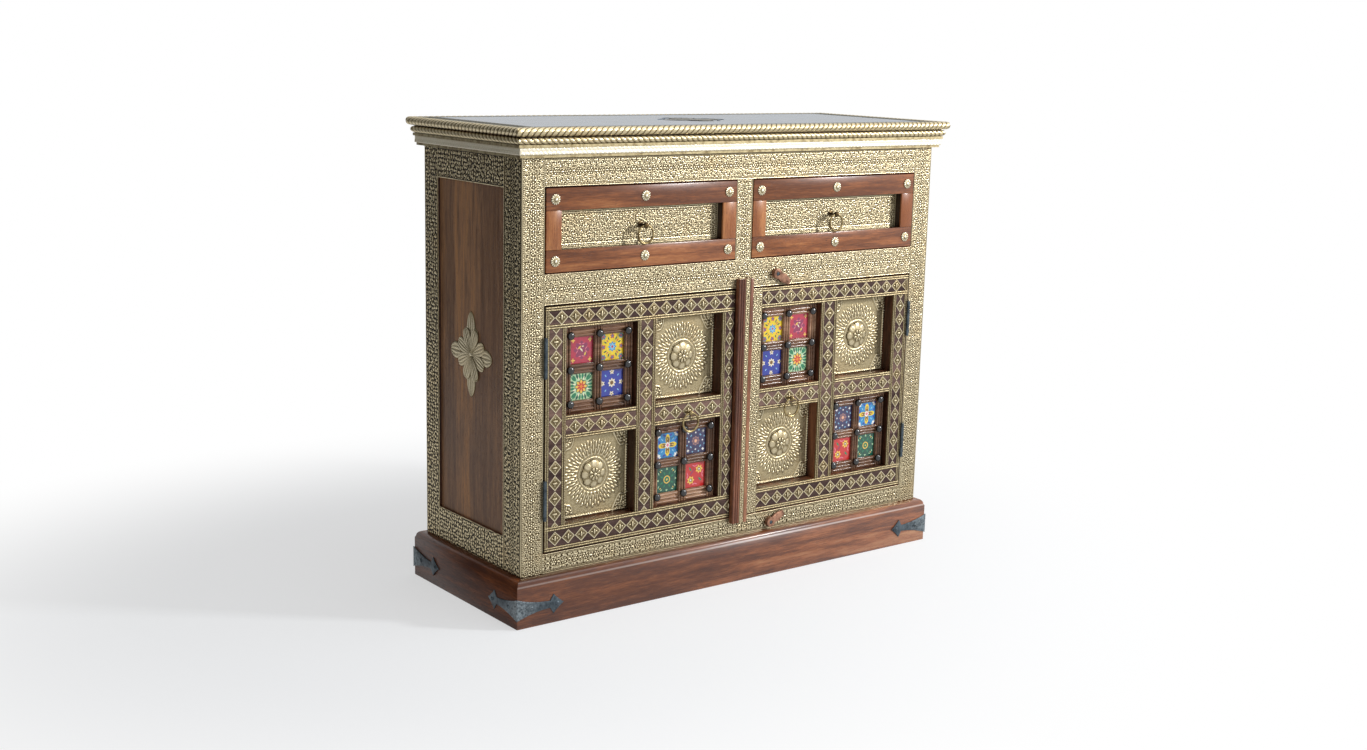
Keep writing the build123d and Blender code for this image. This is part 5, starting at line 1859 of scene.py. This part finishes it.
@dataclass
class Door:
    """One door: strips of lozenges, rosettes, trellises of tiles and beads, hinges and a pull."""

    stock: Stock
    ledger: Ledger
    name: str
    hand: int
    hinge_stile: float
    meeting_stile: float
    muntin: float = 44.0
    bottom_rail: float = 47.0
    mid_rail: float = 44.0
    top_rail: float = 41.5
    edge_line: float = 8.8
    pitch: float = 29.0
    top_row_start: float = 5.0
    half_across: float = 13.4
    half_along: float = 14.2
    lozenge_steps: tuple[Pair, ...] = ((1.3, 0.0), (0.4, -0.6), (0.7, 0.0), (0.3, 0.35), (0.5, 0.0),
                                          (0.3, -0.4))
    row_end: float = 3.0
    skin: float = 0.3
    clearance: float = 0.3
    tile: float = 50.0
    bar: float = 18.0
    bead: float = 7.6
    bead_side_inset: float = 14.75
    bead_end_inset: float = 16.75
    slim: float = 0.78
    least_proud: float = 2.8
    bar_edge: float = 0.4
    columns: tuple = field(init=False)
    levels: tuple = field(init=False)
    low: Vector = field(init=False)
    high: Vector = field(init=False)

    def __post_init__(self) -> None:
        """Work out the compartments from the leaf."""
        self.low, self.high = span(f"{self.name}_frame")
        width, height = self.high.x - self.low.x, self.high.z - self.low.z
        panel = (width - self.hinge_stile - self.muntin - self.meeting_stile) / 2
        tall = (height - self.bottom_rail - self.mid_rail - self.top_rail) / 2
        first = (self.hinge_stile, self.hinge_stile + panel)
        second = (first[1] + self.muntin, first[1] + self.muntin + panel)
        self.columns = tuple(sorted((self.stretch(*first), self.stretch(*second))))
        lower = self.low.z + self.bottom_rail
        self.levels = ((lower, lower + tall), (lower + tall + self.mid_rail, self.high.z - self.top_rail))

    def across(self, distance: float) -> float:
        """The place across of a distance from the hinge edge."""
        return self.low.x + distance if self.hand < 0 else self.high.x - distance

    def stretch(self, start: float, end: float) -> Pair:
        """The stretch across between two distances from the hinge edge."""
        return tuple(sorted((self.across(start), self.across(end))))

    def build(self) -> None:
        """Build the whole door."""
        self.ledger.dress(self.stock.wood[Grain.ALONG_Z], f"{self.name}_frame")
        self.ledger.dress(self.stock.strip, f"{self.name}_brass_strips")
        self.ledger.dress(self.stock.iron, f"{self.name}_hinge_leaves")
        self.veneers()
        self.fillets()
        self.lozenges()
        plain = ((self.columns[1], self.levels[1]), (self.columns[0], self.levels[0]))
        tiled = ((self.columns[0], self.levels[1]), (self.columns[1], self.levels[0]))
        self.rosettes(plain)
        self.trellises(tiled)
        self.tiles(tiled)
        self.beads(tiled)
        ring = Ornament.ring(f"{self.name}_ring", f"{self.name}_pull_ring", 1.7, 2.6)
        self.ledger.enter(ring, self.stock.cast, "cast_brass", f"{self.name}_ring", f"{self.name}_pull_ring")
        self.ledger.soften(f"{self.name}_pull_post", self.stock.cast, "cast_brass", self.name, 0.2)

    @property
    def face(self) -> float:
        """The front of the brass strips."""
        return span(f"{self.name}_brass_strips")[0].y

    @property
    def shown(self) -> Pair:
        """How far the strips' ornament reaches across: up to the punched strip of the right door."""
        width = self.high.x - self.low.x
        return self.stretch(0.0, width - self.meeting_stile if self.hand > 0 else width - self.clearance)

    def veneers(self) -> None:
        """Thin wood between the fillets, which shows around the lozenges."""
        start, end = self.shown
        foot, head = self.levels[0][0], self.levels[1][1]
        line = self.edge_line
        rails = ((self.low.z + line, foot - line), (head + line, self.high.z - line))
        bands = [((start, end), rail) for rail in rails]
        middle = (self.levels[0][1] + line, self.levels[1][0] - line)
        bands += [(column, middle) for column in self.columns]
        bands += [(across, (foot, head)) for across in self.uprights()]
        bars = [
            Bench.block("veneer", (x[0], self.face - self.skin, z[0]), (x[1], self.face + 0.1, z[1]), 0)
            for x, z in bands
        ]
        piece = Bench.join(f"{self.name}_veneers", bars)
        self.ledger.enter(piece, self.stock.veneer, "sheesham_wood", self.name)

    def uprights(self) -> list[Pair]:
        """The stretches across of the upright rows of lozenges, between their fillets."""
        line, width = self.edge_line, self.high.x - self.low.x
        found = [self.stretch(line, self.hinge_stile - line),
                 (self.columns[0][1] + line, self.columns[1][0] - line)]
        if self.hand < 0:
            found.append(self.stretch(width - self.meeting_stile + line, width - self.clearance))
        return found

    def fillets(self) -> None:
        """The double reeds along the edges of the strips, or the punched strip by the meeting line."""
        start, end = self.shown
        foot, head, line = self.levels[0][0], self.levels[1][1], self.edge_line
        levels = (self.low.z, foot - line, head, self.high.z - line)
        flat = [((start, end), (level, level + line)) for level in levels]
        flat += [(column, (level, level + line)) for column in self.columns
                 for level in (self.levels[0][1], self.levels[1][0] - line)]
        tall = [(self.stretch(0.0, line), (self.low.z + line, self.high.z - line)),
                (self.stretch(self.hinge_stile - line, self.hinge_stile), (foot, head))]
        edges = [self.columns[0][1], self.columns[1][0] - line]
        if self.hand < 0:
            edges.append(self.columns[1][1])
        tall += [((edge, edge + line), (foot, head)) for edge in edges]
        sheets = [self.sheet("fillet", x, z, upright, Fillet(), 0.0, 0.18)
                  for places, upright in ((flat, False), (tall, True)) for x, z in places]
        piece = Bench.join(f"{self.name}_fillets", sheets)
        self.ledger.enter(piece, self.stock.embossed, "embossed_brass", self.name)
        if self.hand > 0:
            beside = (span("door_right_astragal")[1].x + self.clearance, self.columns[0][0])
            sheet = self.sheet("door_right_punched_strip", beside, (self.low.z, self.high.z), True, Punched(),
                               0.3, 0.48)
            self.ledger.enter(sheet, self.stock.embossed, "embossed_brass", self.name)

    def sheet(self, name: str, x: Pair, z: Pair, upright: bool, relief: Relief, low: float,
              ground: float) -> Piece:
        """A sheet on the strips.

        Args:
            name: The piece's name.
            x: The stretch that it covers across.
            z: The stretch that it covers in height.
            upright: Whether its pattern runs up.
            relief: The pattern.
            low: How far its hollows stand off the strips.
            ground: How bright its plain ground is.

        Returns:
            The sheet.
        """
        return EmbossedSheet.over(name, (x[0], self.face, z[0]), (x[1], self.face, z[1]), FRONT, relief,
                                  upright, mesh=1.0, low=low, high=1.5, contrast=1.1, hollows=1.9,
                                  ground=ground)

    def lozenge(self, name: str, along: float) -> Piece:
        """One lozenge across a strip on Y: two rims, a tall boss and two leaves.

        Args:
            name: The piece's name.
            along: Half its width, along the strip.

        Returns:
            The lozenge, lying at the origin.
        """
        bpy.ops.mesh.primitive_circle_add(vertices=4, radius=self.half_across * MM, fill_type="NGON")
        rim = bpy.context.object
        with Bench.editing(rim):
            bpy.ops.transform.resize(value=(along / self.half_across, 1, 1))
            bpy.ops.mesh.extrude_region_move(TRANSFORM_OT_translate={"value": (0, 0, 1.0 * MM)})
            for thickness, drop in self.lozenge_steps:
                bpy.ops.mesh.inset(thickness=thickness * MM, depth=0)
                bpy.ops.transform.translate(value=(0, 0, drop * MM))
            bpy.ops.mesh.select_all(action="SELECT")
            bpy.ops.mesh.normals_make_consistent(inside=False)
        Bench.settle(rim, name)
        level = Bench.points(rim)[:, 2] / MM
        Bench.mark(rim, np.interp(level, (0.1, 0.5, 0.9, 1.0), (0.1, 0.26, 0.6, 1.0)))
        boss = Leaf(12.6, 4.8, 2.4, 0.5, 0.8, 0.0, 6, 6, 0.0, 4.0).build("boss")
        quarter = Matrix.Rotation(math.pi / 2, 4, "Z")
        boss.data.transform(Matrix.Translation((0, -6.3 * MM, 0.2 * MM)) @ quarter)
        leaf = Leaf(4.6, 3.4, 1.4, 0.5, 0.8, 0.0, 4, 4).build("leaf")
        leaves = Bench.scatter("leaves", leaf, [
            Matrix.Rotation(turn, 4, "Z") @ Matrix.Translation((3.0 * MM, 0, 0.1 * MM))
            for turn in (0.0, math.pi)
        ])
        return Bench.join(name, [rim, boss, leaves])

    def lozenges(self) -> None:
        """Rows of lozenges on the stiles, the muntin and the rails, cut off where a row ends."""
        (left, right), (lower, upper) = self.columns, self.levels
        foot, head, line = lower[0], upper[1], self.edge_line
        start, end = self.shown
        start, end = (self.across(line), end) if self.hand < 0 else (start, self.across(line))
        whole = self.half_along
        rows = [
            (False, mid((self.low.z, foot)), self.across(line + self.pitch / 2), start, end, whole),
            (False, mid((head, self.high.z)), self.across(self.top_row_start), start, end, whole),
        ]
        middle_z = mid((lower[1], upper[0]))
        rows += [(False, middle_z, mid(column), *column, whole) for column in (left, right)]
        for x in self.uprights():
            half = min(self.half_across, (x[1] - x[0]) / 2)
            rows.append((True, mid(x), (foot + head + self.pitch) / 2, foot, head, half))
        pieces = [piece for row in rows for piece in self.row(*row)]
        piece = Bench.join(f"{self.name}_lozenges", pieces)
        Bench.smooth(piece, 50)
        self.ledger.enter(piece, self.stock.embossed, "embossed_brass", self.name)

    def row(self, upright: bool, level: float, first: float, low: float, high: float,
            half: float) -> list[Piece]:
        """One row of lozenges, with those at its ends cut off.

        Args:
            upright: Whether the row runs up.
            level: The place of its middle line.
            first: The middle of one of its lozenges.
            low: Where it starts.
            high: Where it ends.
            half: Half the lozenges' width.

        Returns:
            The lozenges.
        """
        reach = self.half_along
        index = math.ceil((low - reach + self.row_end - first) / self.pitch)
        pattern = self.lozenge("lozenge", reach)
        if half < self.half_across and upright:
            pattern.data.transform(Matrix.Diagonal((1.0, half / self.half_across, 1.0, 1.0)))
        pieces = []
        while first + index * self.pitch < high + reach - self.row_end:
            at = first + index * self.pitch
            spot = (level, self.face, at) if upright else (at, self.face, level)
            piece = Bench.copied(pattern, seat(spot, FRONT, math.pi / 2 if upright else 0.0))
            way = Vector((0, 0, 1)) if upright else Vector((1, 0, 0))
            for edge, side in ((low, -1), (high, 1)):
                if (edge - at) * side < reach:
                    self.cut(piece, way * edge * MM, way * side)
            pieces.append(piece)
            index += 1
        bpy.data.objects.remove(pattern)
        return pieces

    @staticmethod
    def cut(piece: Piece, point: Vector, away: Vector) -> None:
        """Cut off what lies beyond a point."""
        with Bench.editing(piece):
            bpy.ops.mesh.bisect(plane_co=point, plane_no=away, clear_outer=True, use_fill=True)

    def rosettes(self, places: Sequence[tuple[Pair, Pair]]) -> None:
        """The sunk panels with a wreath about a flower."""
        back = span(f"{self.name}_rosettes")[1].y
        for index, (x, z) in enumerate(places, 1):
            sheet = EmbossedSheet.over(f"{self.name}_sun_panel_{index}", (x[0], back, z[0]),
                                       (x[1], back, z[1]), FRONT, SunPanel(), mesh=1.1, low=0.8, high=3.2,
                                       contrast=0.7, hollows=3.0, ground=0.54)
            self.ledger.enter(sheet, self.stock.embossed, "embossed_brass", self.name,
                              f"{self.name}_rosettes")
            flower = self.flower(f"{self.name}_flower_{index}")
            flower.data.transform(seat((mid(x), back - 1.0, mid(z)), FRONT))
            self.ledger.enter(flower, self.stock.embossed, "embossed_brass", self.name)

    def flower(self, name: str) -> Piece:
        """The raised flower of a rosette: two rings of petals on a dome."""
        profile = ((25.5, 0), (25, 1.6), (22, 3.2), (17, 4.6), (10, 5.7), (3, 6.1))
        dome = Bench.turned(name + "_dome", profile, 32, 0.42)
        Bench.smooth(dome)
        parts = [dome]
        for count, start, length, width, level, tilt, turn in ((8, 4.5, 23.5, 16.8, 4.8, 0.2, 0.0),
                                                               (8, 2, 11.0, 6.0, 6.0, 0.1, math.pi / 8)):
            petal = Leaf(length, width, 3.0, 0.68, 0.45, 0.04, 14, 12, 0.0, 3.0, 0.7).build(name + "_petal")
            lean = Matrix.Rotation(tilt, 4, "Y")
            lift = Matrix.Translation((start * MM, 0, level * MM)) @ lean
            sector = 2 * math.pi / count
            places = [Matrix.Rotation(sector * step + turn, 4, "Z") @ lift for step in range(count)]
            parts.append(Bench.scatter(name + "_petals", petal, places))
        eye = Bench.turned(name + "_eye", ((3.4, 5.8), (3.3, 8.0), (2.2, 9.2), (0.8, 9.5)), 14, 0.95)
        Bench.smooth(eye)
        return Bench.join(name, [*parts, eye])

    def bars(self, stretch: Pair) -> tuple[Pair, ...]:
        """The three bars of a trellis, one way, with a tile between each two."""
        middle, half = mid(stretch), self.bar / 2
        return ((stretch[0], middle - half - self.tile), (middle - half, middle + half),
                (middle + half + self.tile, stretch[1]))

    def trellises(self, places: Sequence[tuple[Pair, Pair]]) -> None:
        """The wooden lattices, their bars reeded."""
        low, high = span(f"{self.name}_trellises")
        pieces = []
        for x, z in places:
            posts, rails = self.bars(x), self.bars(z)
            gaps = ((posts[0][1], posts[1][0]), (posts[1][1], posts[2][0]))
            bars = [(post, z, True, 3.0, 0.0) for post in posts]
            bars += [(gap, rail, False, 3.2, 0.4) for rail in rails for gap in gaps]
            for across, level, upright, body, behind in bars:
                pieces.append(Bench.block("bar", (across[0], low.y + body, level[0]),
                                          (across[1], high.y, level[1]), self.bar_edge))
                side = across if upright else level
                depth = low.y + behind + max((side[1] - side[0]) / 6, self.least_proud)
                pieces += Bench.reeds(across, level, depth, upright, self.slim)
        piece = Bench.join(f"{self.name}_reeded_trellises", pieces)
        Bench.smooth(piece)
        self.ledger.enter(piece, self.stock.trellis, "sheesham_wood", self.name, f"{self.name}_trellises")

    def tiles(self, places: Sequence[tuple[Pair, Pair]]) -> None:
        """The glazed tiles, each with its own design."""
        upper = (Design.CRIMSON, Design.YELLOW, Design.CREAM, Design.ROYAL)
        lower = (Design.AZURE, Design.INDIGO, Design.GREEN, Design.RED)
        if self.hand > 0:
            upper = (Design.YELLOW, Design.CRIMSON, Design.ROYAL, Design.CREAM)
            lower = (Design.INDIGO, Design.AZURE, Design.RED, Design.GREEN)
        low, high = span(f"{self.name}_tiles")
        offset = (self.tile + self.bar) / 2
        for (x, z), designs in zip(places, (upper, lower)):
            for (side, level), design in zip(((-1, 1), (1, 1), (-1, -1), (1, -1)), designs):
                centre = (mid(x) + side * offset, mid(z) + level * offset)
                tile = self.glazed(f"{self.name}_{design.name.lower()}_tile", centre, low.y, high.y)
                self.ledger.enter(tile, self.stock.tiles[design], "glazed_tile", self.name,
                                  f"{self.name}_tiles")

    def glazed(self, name: str, centre: Spot, front: float, back: float) -> Piece:
        """A tile with a soft edge and a slightly crowned glaze."""
        half = self.tile / 2

        def place(u: Values, v: Values) -> Values:
            """Points of the tile's face, its outermost row turned back."""
            edge = (u < 0.01) | (u > 0.99) | (v < 0.01) | (v > 0.99)
            x, z = (u * 2 - 1), (v * 2 - 1)
            spread = np.clip(np.stack([x, z]) * 1.09, -1, 1)
            crown = np.clip(1 - np.maximum(abs(x), abs(z)) ** 10, 0, 1) + np.clip(1 - x**2 - z**2, 0, 1) * 0.3
            y = np.where(edge, back, front + 1.3 - crown)
            return np.stack([centre[0] + spread[0] * half, y, centre[1] + spread[1] * half], 1)

        tile = Bench.grid(name, 22, 22, place)
        layer = tile.data.uv_layers.new(name="tile")
        points = Bench.points(tile) / MM
        corners = np.empty(len(tile.data.loops), np.int64)
        tile.data.loops.foreach_get("vertex_index", corners)
        spots = (points[corners][:, (0, 2)] - np.array(centre)) / self.tile + 0.5
        layer.data.foreach_set("uv", spots.astype(np.float32).ravel())
        Bench.close(tile)
        Bench.smooth(tile, 50)
        return tile

    def beads(self, places: Sequence[tuple[Pair, Pair]]) -> None:
        """Black beads on collars at the crossings of the trellises."""
        back = span(f"{self.name}_beads")[1].y
        profile = [(self.bead * 0.7, -0.6), (self.bead * 0.86, 0.2)]
        profile += [(self.bead * math.cos(turn), self.bead * (0.5 + 0.56 * math.sin(turn)))
                    for turn in (-0.5, -0.1, 0.3, 0.7, 1.05, 1.35, 1.5)]
        bead = Bench.turned("bead", profile, 20)
        spots = []
        for x, z in places:
            across = (x[0] + self.bead_side_inset, mid(x), x[1] - self.bead_side_inset)
            levels = (z[0] + self.bead_end_inset, mid(z), z[1] - self.bead_end_inset)
            spots += [(at, back, level) for at in across for level in levels]
        piece = Bench.scatter(f"{self.name}_glass_beads", bead, [seat(spot, FRONT) for spot in spots])
        Bench.smooth(piece, 60)
        self.ledger.enter(piece, self.stock.bead, "black_glass", self.name, f"{self.name}_beads")


@dataclass
class MeetingStrip:
    """The reeded cover strip of the right door and the two turn buttons over it."""

    stock: Stock
    ledger: Ledger
    reeded: float = 17.0
    brass: float = 10.4

    def build(self) -> None:
        """Build the strip and the buttons."""
        low, high = span("door_right_astragal")
        brass = (low.x + self.reeded, low.x + self.reeded + self.brass)
        pieces = [
            Bench.block("body", (low.x, low.y + 3.0, low.z), (brass[0], high.y, high.z), 0.8),
            Bench.block("seat", (brass[0], low.y + 1.6, low.z), (brass[1], high.y, high.z), 0.4),
            Bench.block("edge", (brass[1], low.y + 0.4, low.z), high, 1.2),
        ]
        pieces += Bench.reeds((low.x, brass[0]), (low.z + 0.4, high.z - 0.4), low.y + 3.0, True)
        piece = Bench.join("reeded_meeting_strip", pieces)
        Bench.smooth(piece)
        self.ledger.enter(piece, self.stock.strip_wood, "sheesham_wood", "door_right", "door_right_astragal")
        face = low.y + 1.8
        inlay = EmbossedSheet.over("meeting_strip_brass", (brass[0] + 0.3, face, low.z + 0.5),
                                   (brass[1] - 0.3, face, high.z - 0.5), FRONT, Punched(), True, mesh=0.95,
                                   low=0.2, high=1.4, hollows=1.9)
        self.ledger.enter(inlay, self.stock.embossed, "embossed_brass", "door_right")
        for latch in ("latch_top", "latch_bottom"):
            self.ledger.soften(latch, self.stock.bronze, "aged_bronze", latch, 0.9)
        self.ledger.soften("latch_screws", self.stock.iron, "black_iron", "carcass", 0.4)


@dataclass
class Studio:
    """The floor, the lamps, the world and the camera."""

    floor_grey: Colour = srgb(246, 250, 255)
    floor_pale: Colour = srgb(250, 251, 253)
    world_light: float = 0.25
    flag_spot: Spot = (-1.6, 1.1, 1.5)
    flag_size: Pair = (3.6, 3.0)
    camera_spot: Spot = (-2.008, -2.617, 1.049)
    film: float = 36.0
    lens: float = 43.51
    yaw: float = -37.45
    pitch: float = -11.40
    roll: float = 1.38

    def build(self) -> None:
        """Set everything up."""
        self.floor()
        self.world()
        self.lamps()
        self.flag()
        self.camera()
        bpy.context.scene.view_settings.view_transform = "Standard"

    @staticmethod
    def seen(tree: bpy.types.NodeTree) -> bpy.types.NodeSocket:
        """Whether a ray comes from the camera, by way of a mirror or glass if need be."""
        ray = tree.nodes.new("ShaderNodeLightPath")
        straight = ray.outputs["Is Camera Ray"]
        for name in ("Is Glossy Ray", "Is Transmission Ray"):
            either = tree.nodes.new("ShaderNodeMath")
            either.operation = "MAXIMUM"
            tree.links.new(straight, either.inputs[0])
            tree.links.new(ray.outputs[name], either.inputs[1])
            straight = either.outputs[0]
        return straight

    @staticmethod
    def part(tree: bpy.types.NodeTree, amount: bpy.types.NodeSocket, lit: bpy.types.ShaderNode,
             kind: str, output: str) -> None:
        """Show plain white where the amount is 1 and a lit shader where it is 0.

        Args:
            tree: The node tree.
            amount: How much of the white is shown.
            lit: The shader's node.
            kind: The type of the white node.
            output: The name of the tree's output node.
        """
        white = tree.nodes.new(kind)
        white.inputs["Color"].default_value = (1, 1, 1, 1)
        mix = tree.nodes.new("ShaderNodeMixShader")
        for source, socket in zip((amount, lit.outputs[0], white.outputs[0]), mix.inputs):
            tree.links.new(source, socket)
        tree.links.new(mix.outputs[0], tree.nodes[output].inputs[0])

    def floor(self) -> None:
        """A plain floor that keeps the cabinet's shadow and fades to white away from it."""
        bpy.ops.mesh.primitive_plane_add(size=60.0, location=(0, 0, -0.0005))
        floor = Bench.settle(bpy.context.object, "floor")
        graph = Graph("pale_floor")
        spot = graph.place((0.8, 1.0, 1.0), (0.3, -0.1, 0.0))
        distance = graph.node("ShaderNodeVectorMath", {"operation": "LENGTH"}, {0: spot}, "Value")
        far = distance.step(0.5, 1.3)
        clouds = graph.noise(graph.place(), 3.0, 2.0)
        colour = graph.blend(clouds * 0.2, self.floor_grey, self.floor_pale)
        graph.finish(Base_Color=colour, Roughness=0.9, Specular_IOR_Level=0.0)
        amount = Signal(graph, self.seen(graph.tree)) * (far * 0.44 + 0.56)
        self.part(graph.tree, amount.socket, graph.shader, "ShaderNodeEmission", "Material Output")
        floor.data.materials.append(graph.material)

    def world(self) -> None:
        """White to the eye, a softer grey as light."""
        world = bpy.data.worlds.new("studio_world")
        world.use_nodes = True
        bpy.context.scene.world = world
        tree = world.node_tree
        glow = tree.nodes["Background"]
        glow.inputs["Color"].default_value = (0.96, 0.98, 1.0, 1.0)
        glow.inputs["Strength"].default_value = self.world_light
        self.part(tree, self.seen(tree), glow, "ShaderNodeBackground", "World Output")

    def lamps(self) -> None:
        """A key from the front right and a light from above."""
        plan = (("key", (2.9, -3.0, 2.0), 0.45, 142.0), ("sky", (0.5, -0.9, 3.2), 2.6, 36.0))
        for name, spot, size, power in plan:
            bpy.ops.object.light_add(type="AREA", location=spot)
            lamp = bpy.context.object
            lamp.name = name
            lamp.data.size = size
            lamp.data.energy = power
            lamp.rotation_euler = (Vector((0, 0, 0.45)) - Vector(spot)).to_track_quat("-Z", "Y").to_euler()

    def flag(self) -> None:
        """A grey card to the left, out of the picture, that keeps light off the cabinet's left side."""
        bpy.ops.mesh.primitive_plane_add(size=1.0, location=self.flag_spot)
        card = bpy.context.object
        card.scale = (*self.flag_size, 1.0)
        card.rotation_euler = (math.pi / 2, 0, math.pi / 2)
        card = Bench.settle(card, "flag")
        graph = Graph("grey_card")
        weave = graph.noise(graph.place(), 300.0, 2.0)
        colour = graph.blend(weave, srgb(104, 102, 98), srgb(118, 116, 112))
        card.data.materials.append(graph.finish(Base_Color=colour, Roughness=0.95))
        card.visible_camera = False

    def camera(self) -> None:
        """The camera, off the cabinet's left front corner."""
        bpy.ops.object.camera_add(location=self.camera_spot)
        camera = bpy.context.object
        camera.data.sensor_width = self.film
        camera.data.lens = self.lens
        yaw, pitch, roll = (math.radians(angle) for angle in (self.yaw, self.pitch, self.roll))
        turn = Matrix.Rotation(yaw, 4, "Z") @ Matrix.Rotation(math.pi / 2 + pitch, 4, "X")
        camera.rotation_euler = (turn @ Matrix.Rotation(roll, 4, "Z")).to_euler()
        bpy.context.scene.camera = camera


def main() -> None:
    """Build the cabinet, piece by piece, and the studio around it."""
    logging.basicConfig(level=logging.INFO, format="%(message)s")
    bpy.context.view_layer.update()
    stock, ledger = Stock(), Ledger()
    assemblies = (
        Carcass(stock, ledger),
        Base(stock, ledger),
        Cladding(stock, ledger),
        Top(stock, ledger),
        Motifs(stock, ledger),
        Drawer(stock, ledger, "drawer_left"),
        Drawer(stock, ledger, "drawer_right"),
        Door(stock, ledger, "door_left", -1, hinge_stile=45.0, meeting_stile=28.5),
        Door(stock, ledger, "door_right", 1, hinge_stile=40.5, meeting_stile=65.0),
        MeetingStrip(stock, ledger),
    )
    for assembly in assemblies:
        assembly.build()
    LOG.info("%d pieces finished", ledger.pieces)
    Studio().build()


if __name__ == "__main__":
    main()
